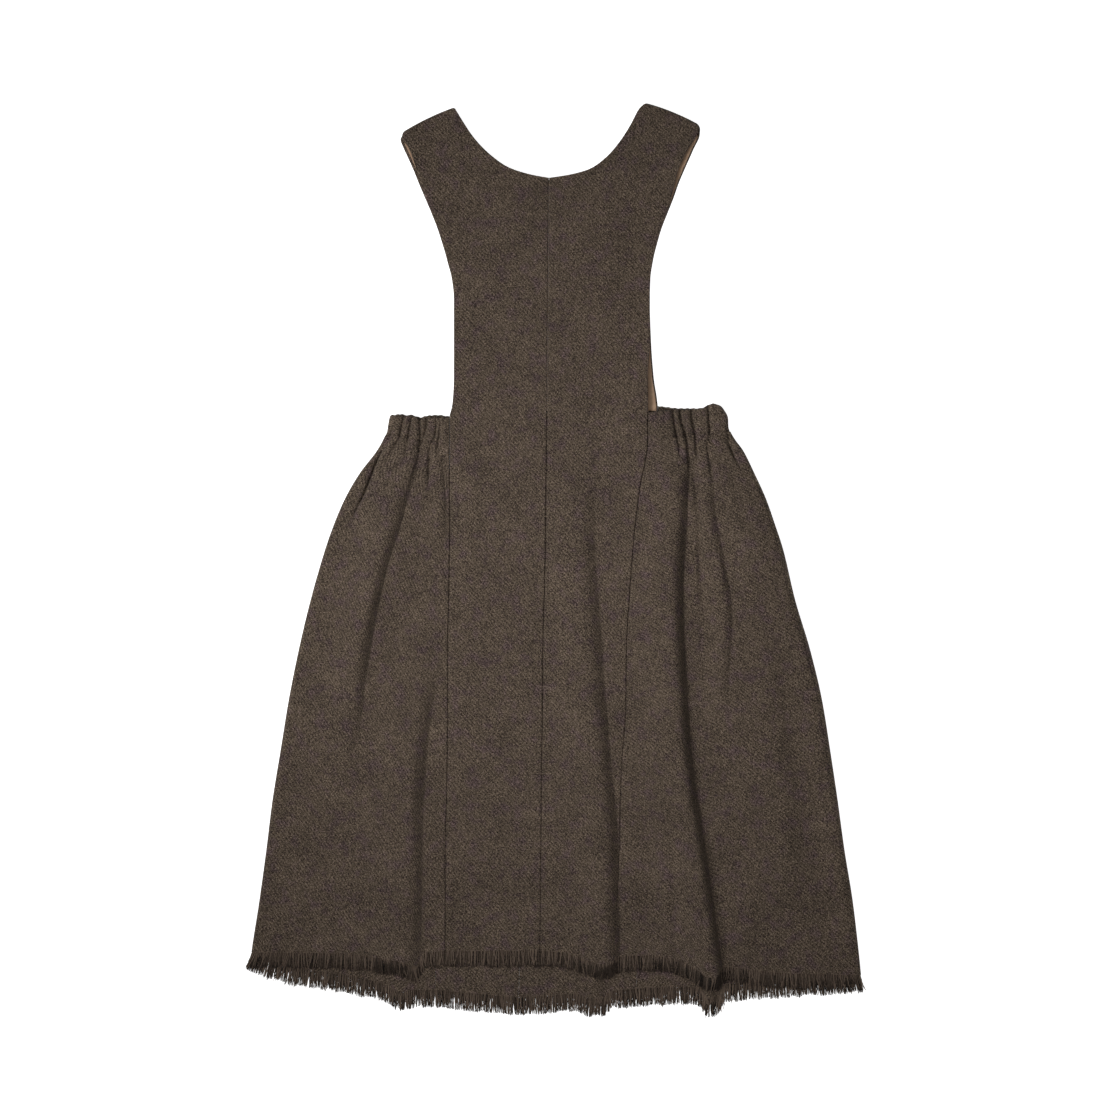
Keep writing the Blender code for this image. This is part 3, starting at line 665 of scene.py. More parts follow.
def run_along(points, axis):
    """Distance along the cloth from the first row or column."""
    step = np.linalg.norm(np.diff(points, axis=axis), axis=-1)
    pad = ((1, 0), (0, 0)) if axis == 0 else ((0, 0), (1, 0))
    return np.pad(np.cumsum(step, axis=axis), pad)


def edge_share(points, edges):
    """Share of the full thickness, which falls off at the first and last row and column."""
    shares = []
    for axis, pair in ((0, edges[:2]), (1, edges[2:])):
        run = run_along(points, axis)
        for away, edge in zip((run, run.take([-1], axis=axis) - run), pair):
            depth = np.clip(away / edge.radius, 0, 1)
            shares.append(mix(edge.left, 1, np.sqrt(1 - (1 - depth) ** 2)))
    return np.minimum.reduce(shares)


def by_height(y, low, high):
    """An edge that is of one kind on the skirt and of another on the bib."""
    return Edge(*(np.where(y < BIB_LOW, below, above)[:, None] for below, above in zip(low, high)))


def grain_map(points, hand):
    """The cloth's flat measure: across it from its outer edge, with x growing to the right, and y along."""
    run = run_along(points * (1, 0, 1), 1) * -hand
    return np.stack([points[:, :1, 0] + run, points[..., 1]], axis=-1)


# %% Make the mesh
def cloth_sides(points, normals, thickness, edges, relief=0.0):
    """The outer and inner side of the cloth. The relief is added to its outer side only."""
    half = (thickness / 2 * edge_share(points, edges))[..., None]
    return points + normals * (half + np.asarray(relief)[..., None]), points - normals * half


def cloth_piece(name, points, normals, thickness, edges, material, flat, relief=0.0):
    """A closed piece of cloth on a grid of points."""
    rows, columns = points.shape[:2]
    outer, inner = cloth_sides(points, normals, thickness, edges, relief)
    bm = bmesh.new()  # a flat block of 1 by 1 by 1, whose points say which row and column they are
    bmesh.ops.create_grid(bm, x_segments=columns - 1, y_segments=rows - 1, size=0.5)
    raised = bmesh.ops.extrude_face_region(bm, geom=bm.faces[:], use_keep_orig=True)["geom"]
    raised = [item for item in raised if isinstance(item, bmesh.types.BMVert)]
    bmesh.ops.translate(bm, verts=raised, vec=(0, 0, 1))
    bmesh.ops.recalc_face_normals(bm, faces=bm.faces)
    mesh = bpy.data.meshes.new(name)
    bm.to_mesh(mesh)
    bm.free()
    place = np.empty(len(mesh.vertices) * 3, np.float32)
    mesh.vertices.foreach_get("co", place)
    place = place.reshape(-1, 3)
    i = np.rint((place[:, 0] + 0.5) * (columns - 1)).astype(int)
    j = np.rint((place[:, 1] + 0.5) * (rows - 1)).astype(int)
    laid = np.where(place[:, 2:] > 0.5, outer[j, i], inner[j, i]) * MM
    mesh.vertices.foreach_set("co", laid.astype(np.float32).ravel())
    across, along = np.gradient(points, axis=1), np.gradient(points, axis=0)
    if np.einsum("rci,rci->", np.cross(across, along), normals) < 0:
        mesh.flip_normals()
    corner = np.empty(len(mesh.loops), np.int32)
    mesh.loops.foreach_get("vertex_index", corner)
    grain = (flat[j, i] * MM)[corner]
    mesh.uv_layers.new(name="grain").uv.foreach_set("vector", grain.astype(np.float32).ravel())
    return finish_piece(name, mesh, material)


def finish_piece(name, mesh, material):
    """An object of a mesh, smooth and with its material."""
    mesh.update()
    mesh.shade_smooth()
    mesh.materials.append(material)
    piece = bpy.data.objects.new(name, mesh)
    bpy.context.scene.collection.objects.link(piece)
    triangles = sum(len(p.vertices) - 2 for p in mesh.polygons)
    print(f"{name}: {triangles} triangles")
    return piece


# %% [markdown]
# ## Materials
# The cloth is a fulled woollen tweed in a 2/2 twill: each warp yarn goes over two weft yarns and
# under the next two, one yarn later in each row, which makes the small diagonal rib. It could be
# painted as stripes, but then it would look printed. Here the crossing of the yarns is worked out
# from the flat measure: which yarn is on top at each place, how high it stands, and that yarn's own
# shade of brown. The fibres were dyed in several browns before they were spun, so the colour
# drifts between olive and plum over a centimetre or so, and fulling leaves a dull, fibrous surface.

# %% Colour and node helpers
def linear(colour):
    """A colour of six hex digits in sRGB as a linear colour."""
    parts = (int(colour[k : k + 2], 16) / 255 for k in (0, 2, 4))
    return (*((c / 12.92 if c <= 0.04045 else ((c + 0.055) / 1.055) ** 2.4) for c in parts), 1)


def add_node(tree, kind, inputs=None, **settings):
    """Add a node with its settings. An input that is a socket is linked, and any other is set."""
    node = tree.nodes.new(kind)
    for name, value in settings.items():
        setattr(node, name, value)
    for key, value in (inputs or {}).items():
        if isinstance(value, bpy.types.NodeSocket):
            tree.links.new(value, node.inputs[key])
        else:
            node.inputs[key].default_value = value
    return node.outputs[0] if len(node.outputs) else node


def new_material(name, **finish):
    """A material with only a shader in it, whose constant sockets are set from the names given."""
    material = bpy.data.materials.new(name)
    material.use_nodes = True
    shader = material.node_tree.nodes["Principled BSDF"]
    for socket, value in finish.items():
        shader.inputs[socket.replace("_", " ")].default_value = value
    return material, material.node_tree, shader


# %% The crossings of a twill
REPEAT = 4  # yarns in the twill's repeat


def twill(tree, place):
    """The weave at a place counted in yarns: height, which set is on top, its yarn and its float."""
    yarn = add_node(tree, "ShaderNodeVectorMath", {0: place}, operation="FLOOR")
    inside = add_node(tree, "ShaderNodeVectorMath", {0: place}, operation="FRACTION")
    turn = add_node(tree, "ShaderNodeVectorMath", {0: inside, 1: (math.pi,) * 3}, operation="MULTIPLY")
    round_yarn = add_node(tree, "ShaderNodeVectorMath", {0: turn}, operation="SINE")
    at, number = (
        add_node(tree, "ShaderNodeSeparateXYZ", {0: vector}).node.outputs for vector in (place, yarn)
    )
    warp_at = add_node(tree, "ShaderNodeMath", {0: number[0], 1: at[1]}, operation="ADD")
    weft_at = add_node(tree, "ShaderNodeMath", {0: at[0], 1: number[1]}, operation="ADD")
    phase = add_node(tree, "ShaderNodeCombineXYZ", {0: warp_at, 1: weft_at})
    swing = {0: phase, 1: (2 * math.pi / REPEAT,) * 3, 2: (0, math.pi, 0)}
    wave = add_node(tree, "ShaderNodeVectorMath", swing, operation="MULTIPLY_ADD")
    wave = add_node(tree, "ShaderNodeVectorMath", {0: wave}, operation="SINE")
    rise = {0: wave, 1: (0.4,) * 3, 2: (0.6,) * 3}
    wave = add_node(tree, "ShaderNodeVectorMath", rise, operation="MULTIPLY_ADD")
    height = add_node(tree, "ShaderNodeVectorMath", {0: wave, 1: round_yarn}, operation="MULTIPLY")
    warp, weft, _ = add_node(tree, "ShaderNodeSeparateXYZ", {0: height}).node.outputs
    top = add_node(tree, "ShaderNodeMath", {0: warp, 1: weft}, operation="MAXIMUM")
    warp_shows = add_node(tree, "ShaderNodeMath", {0: warp, 1: weft}, operation="GREATER_THAN")
    own = add_node(tree, "ShaderNodeMix", {0: warp_shows, 2: number[1], 3: number[0]}, data_type="FLOAT")
    along = add_node(tree, "ShaderNodeMix", {0: warp_shows, 2: weft_at, 3: warp_at}, data_type="FLOAT")
    lengths = add_node(tree, "ShaderNodeMath", {0: along, 1: 1 / REPEAT}, operation="MULTIPLY")
    each = add_node(tree, "ShaderNodeMath", {0: lengths}, operation="FLOOR")
    one_float = add_node(tree, "ShaderNodeCombineXYZ", {0: own, 1: each, 2: warp_shows})
    slub = {0: along, 1: own, 2: warp_shows}
    return top, warp_shows, one_float, add_node(tree, "ShaderNodeCombineXYZ", slub)


# %% Sums, noise and blends
def weighted_sum(tree, start, *terms):
    """A constant plus the sum of sockets, each times its weight."""
    total = start
    for socket, weight in terms:
        total = add_node(tree, "ShaderNodeMath", {0: socket, 1: weight, 2: total}, operation="MULTIPLY_ADD")
    return total


def soft_texture(tree, vector, size, detail=2.0, roughness=0.5):
    """Smooth noise whose patches are about a size in metres."""
    inputs = {"Vector": vector, "Scale": 1 / size, "Detail": detail, "Roughness": roughness}
    return add_node(tree, "ShaderNodeTexNoise", inputs)


def blend(tree, share, first, second):
    """A colour between two others."""
    mixed = add_node(tree, "ShaderNodeMix", {0: share, 6: first, 7: second}, data_type="RGBA")
    return mixed.node.outputs[2]


# %% Woollen tweed
YARN = (0.77, 0.83)  # mm from one yarn to the next, across and along the grain
MELANGE = (3.5, 0.5)  # mm along and across a yarn over which its shade drifts
DRIFT = 12.0  # mm over which the colour drifts
WEAR = 34.0  # mm over which the surface gets a little lighter and darker
FIBRE, TANGLE = 0.25, 0.75  # mm, the sizes of the felted fibres and of their small tangles
WANDER = (3.4, 0.5)  # mm over which the yarns wander, and how far


def tweed_cloth(name, light, dark, olive, plum):
    """Fulled 2/2 twill of melange yarn, whose warp is a little lighter than its weft, with painted shade in
    the gaps between its yarns.
    """
    material, tree, shader = new_material(
        name, Roughness=0.94, Sheen_Weight=0.12, Sheen_Roughness=0.6,
        Sheen_Tint=linear("b8a999"), Specular_IOR_Level=0.15,
    )
    grain = add_node(tree, "ShaderNodeUVMap", uv_map="grain")
    wander = soft_texture(tree, grain, WANDER[0] * MM, 1.0).node.outputs["Color"]
    wavy = {0: wander, 1: (WANDER[1] * MM,) * 3, 2: grain}
    wavy = add_node(tree, "ShaderNodeVectorMath", wavy, operation="MULTIPLY_ADD")
    count = {0: wavy, 1: (1 / (YARN[0] * MM), 1 / (YARN[1] * MM), 1)}
    place = add_node(tree, "ShaderNodeVectorMath", count, operation="MULTIPLY")
    top, warp_shows, one_float, slub_place = twill(tree, place)
    fleck = add_node(tree, "ShaderNodeTexWhiteNoise", {"Vector": one_float}, noise_dimensions="3D")
    crossing = add_node(tree, "ShaderNodeVectorMath", {0: place}, operation="FLOOR")
    speck = add_node(tree, "ShaderNodeTexWhiteNoise", {"Vector": crossing}, noise_dimensions="2D")
    halves = add_node(tree, "ShaderNodeVectorMath", {0: place, 1: (2.0,) * 3}, operation="MULTIPLY")
    halves = add_node(tree, "ShaderNodeVectorMath", {0: halves}, operation="FLOOR")
    grit = add_node(tree, "ShaderNodeTexWhiteNoise", {"Vector": halves}, noise_dimensions="2D")
    stretch = {0: slub_place, 1: (YARN[0] / MELANGE[0], YARN[0] / MELANGE[1], 50)}
    slub = add_node(tree, "ShaderNodeVectorMath", stretch, operation="MULTIPLY")
    slub = soft_texture(tree, slub, 1.0)
    drift = soft_texture(tree, grain, DRIFT * MM, 2.0, 0.6)
    wear = soft_texture(tree, grain, WEAR * MM, 3.0, 0.6)
    fibre = soft_texture(tree, grain, FIBRE * MM, 3.0, 0.7)
    tangle = soft_texture(tree, grain, TANGLE * MM, 1.0, 0.6)
    # Besides the random tones, the yarn's height on top lightens each crown and darkens the gaps between
    # yarns: painted shade. The same height also drives the real bump below.
    shade = weighted_sum(
        tree, -0.82, (warp_shows, 0.15), (fleck, 0.06), (speck, 0.30), (grit, 0.54), (slub, 0.04),
        (fibre, 0.25), (tangle, 0.88), (wear, 0.22), (top, 0.13),
    )
    shade = add_node(tree, "ShaderNodeClamp", {0: shade})
    shade = add_node(tree, "ShaderNodeMath", {0: shade, 1: 2.0}, operation="POWER")
    tone = blend(tree, shade, linear(dark), linear(light))
    hue = add_node(tree, "ShaderNodeMapRange", {0: drift, 1: 0.50, 2: 0.68, 3: 0.0, 4: 1.0})
    tint = blend(tree, hue, linear(olive), linear(plum))
    colour = add_node(tree, "ShaderNodeVectorMath", {0: tone, 1: tint}, operation="MULTIPLY")
    tree.links.new(colour, shader.inputs["Base Color"])
    relief = weighted_sum(tree, 0.0, (top, 1.0), (fibre, 0.45))
    ups = add_node(tree, "ShaderNodeBump", {"Height": relief, "Distance": 0.3 * MM, "Strength": 0.8})
    tree.links.new(ups, shader.inputs["Normal"])
    return material


# Browns of the yarn, and the two tints that it drifts between.
wool_tweed = tweed_cloth("fulled_wool_tweed", light="8f7e70", dark="0c0907", olive="fffdf6", plum="f5eaff")
print(wool_tweed.name, "with a repeat of", REPEAT * YARN[0], "by", REPEAT * YARN[1], "mm")

# %% [markdown]
# ## Lining
# The back bib is lined with a smooth cotton in a warm brown, woven plain from thin yarns, so it
# hardly shows a weave: only fine threads both ways and a soft, even surface.

# %% Cotton lining
COTTON_YARN = 0.35  # mm from one thread to the next
COTTON_STREAK = 3.0  # mm over which its threads differ a little


def lining_cloth(name, colour, shadow):
    """Smooth plain-woven cotton, matt, with its threads just showing."""
    material, tree, shader = new_material(
        name, Roughness=0.78, Sheen_Weight=0.12, Sheen_Roughness=0.5, Specular_IOR_Level=0.3
    )
    grain = add_node(tree, "ShaderNodeUVMap", uv_map="grain")
    step = (math.pi / (COTTON_YARN * MM),) * 3
    turn = add_node(tree, "ShaderNodeVectorMath", {0: grain, 1: step}, operation="MULTIPLY")
    threads = add_node(tree, "ShaderNodeVectorMath", {0: turn}, operation="SINE")
    threads = add_node(tree, "ShaderNodeVectorMath", {0: threads}, operation="ABSOLUTE")
    weave = add_node(tree, "ShaderNodeVectorMath", {0: threads}, operation="LENGTH").node.outputs["Value"]
    streak = {"Vector": grain, "Scale": 1 / (COTTON_STREAK * MM), "Detail": 4.0}
    streak = add_node(tree, "ShaderNodeTexNoise", streak, noise_dimensions="2D")
    # The weave term darkens the gaps between the threads as painted shade, and the streak adds a random tone.
    shade = add_node(tree, "ShaderNodeMath", {0: weave, 1: 0.4, 2: streak}, operation="MULTIPLY_ADD")
    shade = add_node(tree, "ShaderNodeMapRange", {0: shade, 1: 0.5, 2: 1.2, 3: 0.0, 4: 1.0})
    tree.links.new(blend(tree, shade, linear(shadow), linear(colour)), shader.inputs["Base Color"])
    ups = add_node(tree, "ShaderNodeBump", {"Height": weave, "Distance": 0.08 * MM, "Strength": 0.5})
    tree.links.new(ups, shader.inputs["Normal"])
    return material


cotton_lining = lining_cloth("plain_woven_cotton", colour="a0856d", shadow="876c56")
print(cotton_lining.name, "with", round(10 / COTTON_YARN), "threads to the centimetre")

# %% [markdown]
# ## Frayed yarn and sewing thread
# A loose yarn end is the same wool, seen from the side with its plies a little open. Light gets lost
# between the ends, and the yarn's colour is painted darker than the cloth's as painted shade for it.
# Each end has its own shade, stored on its points: a random tone, with painted light on the whole
# yarns and painted shade on the plies under them.

# %% Yarn and thread
YARN_FLECK = 1.1  # mm over which a yarn's shade changes


def loose_yarn(name, light, dark, roughness):
    """Spun yarn seen from the side, dull and lightly flecked."""
    material, tree, shader = new_material(name, Roughness=roughness, Specular_IOR_Level=0.15)
    own = add_node(tree, "ShaderNodeAttribute", attribute_name="shade").node.outputs["Fac"]
    place = add_node(tree, "ShaderNodeTexCoord").node.outputs["Object"]
    fleck = soft_texture(tree, place, YARN_FLECK * MM, 3.0, 0.65)
    shade = add_node(tree, "ShaderNodeMath", {0: fleck, 1: 1.1, 2: own}, operation="MULTIPLY_ADD")
    shade = add_node(tree, "ShaderNodeMapRange", {0: shade, 1: 0.35, 2: 1.55, 3: 0.0, 4: 1.0})
    tree.links.new(blend(tree, shade, linear(dark), linear(light)), shader.inputs["Base Color"])
    ups = add_node(tree, "ShaderNodeBump", {"Height": fleck, "Distance": 0.15 * MM, "Strength": 0.7})
    tree.links.new(ups, shader.inputs["Normal"])
    return material


# Its browns are darker than the cloth's: painted shade for the light that is lost between the loose ends.
frayed_yarn = loose_yarn("frayed_woollen_yarn", light="6e5f53", dark="0d0a08", roughness=0.95)
sewing_thread = loose_yarn("spun_sewing_thread", light="2a211b", dark="17110e", roughness=0.7)
print(frayed_yarn.name, "and", sewing_thread.name)

# %% [markdown]
# ## Fronts and backs
# Each front and back is cut in one from the shoulder to the hem. Its rows are curved at the hem and
# the waist, level across the bib and slanted along the strap, and at the shoulder they roll over the
# edge, where the front meets the back. A bib and a skirt made apart would be easier to draw, but a
# line would show between them, where the cloth has no seam.

# %% Rows of a skirt panel
SIDES = {-1: "left", 1: "right"}
SEAMS = {"front": FRONT_SEAMS, "back": BACK_SEAMS}
SKIRT_ROWS = 160
ROW_PITCH = 2.7  # mm between rows of the grid above the waist
LINE_ROUNDS = 4  # tries at a point of a line, whose x and y depend on each other


def on_line(line, near, far, share, number=1):
    """The y of a line across a panel, at each share of the way between the panel's edges."""
    y = np.full_like(share, line[0][number])
    for _ in range(LINE_ROUNDS):
        y = column(line, number, mix(near(y), far(y), share))
    return y


def seam(layer, hand, side):
    """A panel's edge at a seam of its layer, half a seam gap to the given side of it."""
    return lambda y: column(SEAMS[layer], 2 + hand, y) + side * SEAM_GAP[layer] / 2


def skirt_rows(near, far, hem, surface, top=None):
    """Rows of samples from the hem up to the waist line, and on up to a level top if there is one."""
    fine = np.linspace(0, 1, FINE)
    waist_y, hem_y = (on_line(line, near, far, fine) for line in (WAIST_LINE, hem))
    length = np.mean(waist_y - hem_y)
    rise = spread(length, SKIRT_ROWS, end=top is None) / length
    y = mix(hem_y, waist_y, rise[:, None])
    if top is not None:
        more = np.linspace(0, 1, round((top - np.mean(waist_y)) / ROW_PITCH))[1:, None]
        y = np.vstack([y, mix(waist_y, top, more)])
    return surface(mix(near(y), far(y), fine), y)


# %% Rows of the bib and strap
STRAP_PITCH = 0.25  # rows of the strap's table for each row of the grid
FOOT_BLEND = 4.0  # mm over which the bib's edge comes away from the side panel's seam
CORNERS = {-1: (3.4, 1.8), 1: (4.0, 2.8)}  # radii of the strap's corners, at the armhole and the neck
CLOSED = 0.4  # share of the seam gap that is left at the neck edge
CORNER_ROWS = (4.4, 3.2, 2.2, 1.4, 0.8, 0.35, 0.1, 0.0)  # mm of the last rows from the shoulder


def corner_inset(depth, radius):
    """How far a round corner takes the end of a row in, at a depth from the shoulder's edge."""
    return radius * (1 - np.sqrt(1 - np.clip(1 - depth / radius, 0, 1) ** 2))


def roll_radius(y):
    """Radius of the strap's middle surface where it turns from the front to the back."""
    return (column(LIE, 1, y) - TWEED / 2) / 2


def bib_rows(layer, hand, surface, corners=None):
    """Rows of samples from just above the waist up to the shoulder."""
    strap = np.array(STRAPS[f"{layer}_{SIDES[hand]}"], float)
    strap[:ON_SEAM, 2] += hand * SEAM_GAP[layer] / 2 * np.array([1, CLOSED])
    fine = np.linspace(0, 1, FINE)
    arm_column = ("front", "back").index(layer) * 2 + (1 if hand < 0 else 2)
    ends = []
    for level in np.arange(BIB_LOW, BIB_HIGH, ROW_PITCH)[1:]:
        joined = 1 - smoothstep(BIB_LOW, BIB_LOW + FOOT_BLEND, level)
        arm = column(ARMHOLE, arm_column, level) - hand * SEAM_GAP[layer] / 2 * joined
        share = (level - BIB_LOW) / (NECK_Y[layer] - BIB_LOW)
        centre = mix(*BIB_CENTRE, share) + hand * SEAM_GAP[layer] / 2
        ends.append((arm, level, centre, level, 0.0))
    last_step = np.linalg.norm(strap[-1, :2] - strap[-2, :2])
    near_shoulder = len(strap) - ON_SEAM - np.array(CORNER_ROWS) / last_step
    for part in (np.vstack([ends[-1], strap[:ON_SEAM]]), strap[ON_SEAM - 1 :]):
        places = np.arange(0, len(part) - 1 + STRAP_PITCH / 2, STRAP_PITCH)[1:]
        if len(part) > ON_SEAM + 1:
            places = np.concatenate([places[places < near_shoulder[0] - STRAP_PITCH / 3], near_shoulder])
        ends += [tuple(curve(range(len(part)), values, place) for values in part.T) for place in places]
    arm_x, arm_y, neck_x, neck_y, bow = (np.array(values)[:, None] for values in zip(*ends))
    if corners is not None:
        depth = np.full_like(arm_x, max(corners))
        depth[-len(CORNER_ROWS) :, 0] = CORNER_ROWS + roll_radius(arm_y[-1]) + TWEED / 2
        length = np.hypot(neck_x - arm_x, neck_y - arm_y)
        insets = (corner_inset(depth, radius) / length for radius in corners)
        fine = mix(*(abs(end - inset) for end, inset in enumerate(insets)), fine)
    y = mix(arm_y, neck_y, fine) + 4 * bow * fine * (1 - fine)
    return surface(mix(arm_x, neck_x, fine), y)


# %% Rows round the shoulder's edge
ROLL_ROWS = 6


def shoulder_roll(shoulder, turn, hand):
    """Rows that carry a strap round the shoulder, down from the front or up from the back."""
    along = (shoulder[-1] - shoulder[0]) * (1, 1, 0)
    along /= np.linalg.norm(along)
    out = np.array([-along[1], along[0]])
    out *= np.sign(out[1])
    radius = roll_radius(shoulder[0, 1])
    edge = radius + TWEED / 2
    share = run_along(shoulder[None], 1)[0, :, None]
    share /= share[-1]
    points, normals = [], []
    for k in range(1, ROLL_ROWS + 1):
        angle = (math.pi / 2 - SEAM_GAP["back"] / 2 / radius) * k / ROLL_ROWS
        shift = np.array([*(out * math.sin(angle)), turn * (math.cos(angle) - 1)])
        depth = edge * (1 - math.sin(angle))
        arm, neck = (corner_inset(depth, corner) - corner_inset(edge, corner) for corner in CORNERS[hand])
        points.append(shoulder + shift * radius + along * mix(arm, -neck, share))
        normal = np.array([*(out * turn * math.sin(angle)), math.cos(angle)])
        normals.append(np.broadcast_to(normal, shoulder.shape))
    return np.array(points), np.array(normals)


# %% Make the fronts and backs
LAYERS = {  # surface, hem, columns, and which way the strap turns at the shoulder
    "front": (front_layer, FRONT_HEM, 96, 1),
    "back": (back_layer, BACK_HEM, 44, -1),
}
hems = {"front": [], "back": []}
cloth = {}


def middle_panel(layer, hand):
    """A front or back, from its hem up to the middle of the shoulder's edge."""
    surface, hem, columns, turn = LAYERS[layer]
    lines = seam(layer, hand, -hand), seam(layer, 0, hand)
    skirt = skirt_rows(*lines, hem, surface, top=BIB_LOW)
    bib = bib_rows(layer, hand, surface, CORNERS[hand])
    points, normals = spread_columns(*(np.vstack(pair) for pair in zip(skirt, bib)), columns)
    flat = grain_map(points, hand)
    rolled, rolled_normals = shoulder_roll(points[-1], turn, hand)
    over = run_along(np.vstack([points[-1:], rolled]), 0)[1:, :, None] * (0, 1)
    flat = np.vstack([flat, flat[-1] + over])
    points, normals = np.vstack([points, rolled]), np.vstack([normals, rolled_normals])
    hems[layer].append(points[0])
    y = points[:, 0, 1]
    neck_y = points[:, -1, 1] - (NECK_Y[layer] - BIB_LOW)
    edges = RAW, SIDE_SEAM, by_height(y, SIDE_SEAM, TURNED), by_height(neck_y, CENTRE_SEAM, TURNED)
    name = f"tweed_{layer}_{SIDES[hand]}"
    return cloth_piece(name, points, normals, TWEED, edges, wool_tweed, flat)


for hand in SIDES:
    for layer in LAYERS:
        cloth[f"{layer}_{SIDES[hand]}"] = middle_panel(layer, hand)

# %% [markdown]
# ## Side panels
# The side panel has no side seam: it lies over the front, turns round the side and goes on under
# the back. One row of the grid follows it all the way, so the turn is a true half round. Two halves
# that meet at the side would leave a hard line along the border.

# %% The turn round a side
TURN_SAMPLES = 60
SIDE_COLUMNS = 264
BACK_GATHER, BACK_GATHER_DEPTH = 9.0, 0.5  # pitch and depth of the gathers underneath
BACK_GATHER_FROM = 20.0, 95.0  # y at which they begin and are full
MOST_LEAN = math.radians(14)  # of the grain towards the waist
UNDER, OVER = (0.5, 1.0), (0.0, 0.4)  # how far cloth faces down or up where its gathers begin and are full


def fold_start(hand, back, thickness):
    """Where the front layer starts to turn round the side, as a function of y."""
    edge = 1 if hand < 0 else 2

    def start(y):
        half = (column(SIDE_HEIGHT, 1, y) - back) / 2
        return column(OUTLINE, edge, y) - hand * (half + thickness / 2)

    return start


def side_fold(front, hand, back, thickness):
    """The half turn at the side, from the front layer's last column down to the back layer."""
    half = (front[:, 2:] - back) / 2
    outline = column(OUTLINE, 1 if hand < 0 else 2, front[:, 1:2])
    middle = outline - hand * (half + thickness / 2)
    angle = np.linspace(0, math.pi, TURN_SAMPLES + 1)[1:]
    out, up = np.sin(angle), np.cos(angle)
    y = np.broadcast_to(front[:, 1:2], half.shape[:1] + angle.shape)
    points = np.stack([middle + hand * half * out, y, back + half * (1 + up)], axis=-1)
    normals = np.broadcast_to(np.stack([hand * out, 0 * out, up], axis=-1), points.shape)
    return points, normals


# %% Make the side panels
def leaning_grain(points, hand, turn_at):
    """The flat measure of a side panel, whose grain is along its folded side."""
    height = points[:, :1, 1]
    lean = np.arctan(np.abs(np.gradient(column(OUTLINE, 1, height[:, 0]), height[:, 0])))[:, None]
    lean = np.minimum(lean, MOST_LEAN)
    across = run_along(points, 1) - turn_at
    along = height / np.cos(lean) + np.abs(across) * np.sin(lean)
    return np.stack([across * np.cos(lean) * hand, along], axis=-1)


def side_panel(hand):
    """The gathered side of the skirt, from the front seam round the side to the back seam."""
    side = fold_start(hand, TWEED / 2, TWEED)
    front, front_normals = skirt_rows(seam("front", hand, hand), side, FRONT_HEM, front_layer)
    front_normals[-1, :, 1] = 0  # so that the waist edge is square
    turn, turn_normals = side_fold(front[:, -1], hand, TWEED / 2, TWEED)
    back, up = skirt_rows(side, seam("back", hand, hand), BACK_HEM, back_layer)
    points = np.concatenate([front, turn, back[:, 1:]], axis=1)
    normals = np.concatenate([front_normals, turn_normals, -up[:, 1:]], axis=1)
    turn_at = run_along(points, 1)[:, front.shape[1] + TURN_SAMPLES // 2, None]
    points, normals = spread_columns(points, normals, SIDE_COLUMNS)
    over = normals[0, :, 2] > 0
    hems["front"].append(points[0, over])
    hems["back"].append(points[0, ~over])
    flat = leaning_grain(points, hand, turn_at)
    gathers = np.sin(flat[..., 0] * 2 * math.pi / BACK_GATHER) - 1
    relief = BACK_GATHER_DEPTH / 2 * gathers * smoothstep(*BACK_GATHER_FROM, points[..., 1])
    relief = relief * smoothstep(*UNDER, -normals[..., 2])
    clefts = np.maximum(pinches(points[..., 0], points[..., 1], 1), CLEFT_LEFT - TWEED)
    relief = relief + clefts * smoothstep(*OVER, normals[..., 2])
    edges = RAW, LAPPED, SIDE_SEAM, SIDE_SEAM
    name = f"tweed_side_{SIDES[hand]}"
    return cloth_piece(name, points, normals, TWEED, edges, wool_tweed, flat, relief)


for hand in SIDES:
    cloth[f"side_{SIDES[hand]}"] = side_panel(hand)

# %% [markdown]
# ## Elastic casings
# At each side the waist edge is folded into a casing for 20 mm elastic. Drawn up, it stands in
# fat little ridges with deep pinches between them. The band is one thick closed piece whose outer
# side carries that relief, thinner where it is sewn down and round along its folded top edge. As
# bumps in the material only, the pinches would end flat at the border, where the real ones notch it.

# %% Make the casings
CASING_ROWS = 34
CASING_COLUMNS = 420
PUFF, PUFF_PITCH = 0.14, 5.2  # height and pitch of the small swellings between the pinches
PUFF_SUNK = 0.4  # share of their height by which they are sunk into the band
PUFF_UNDER = 0.7  # depth of the same underneath
PUFF_DRIFT = (1.6, 14, 30)  # mm that the swellings drift from even, and the patches in which they do
TOP_WAVE = 0.25  # height of the folded edge's waves
TOP_ONLY = 4  # power of the height, for what happens close to the folded edge
SEWN_DOWN = 4.5  # mm over which the band thickens from its seams
SEWN_THICK = 1.6  # its thickness there
OUTSIDE = (-0.5, 0.2)  # how far the band faces up where its underside ends and its outside begins
STITCH_ROW = 1.3  # mm from the lower edge to the stitches


def casing_rows(near, far, top_number):
    """Rows of samples of one layer of the casing, from its lower edge to its top edge."""
    fine = np.linspace(0, 1, FINE)
    levels = np.linspace(0, 1, CASING_ROWS)[:, None]
    low = on_line(WAIST_LINE, near, far, fine)
    y = mix(low, on_line(CASING_TOP, near, far, fine, top_number), levels)
    return mix(near(y), far(y), fine), y


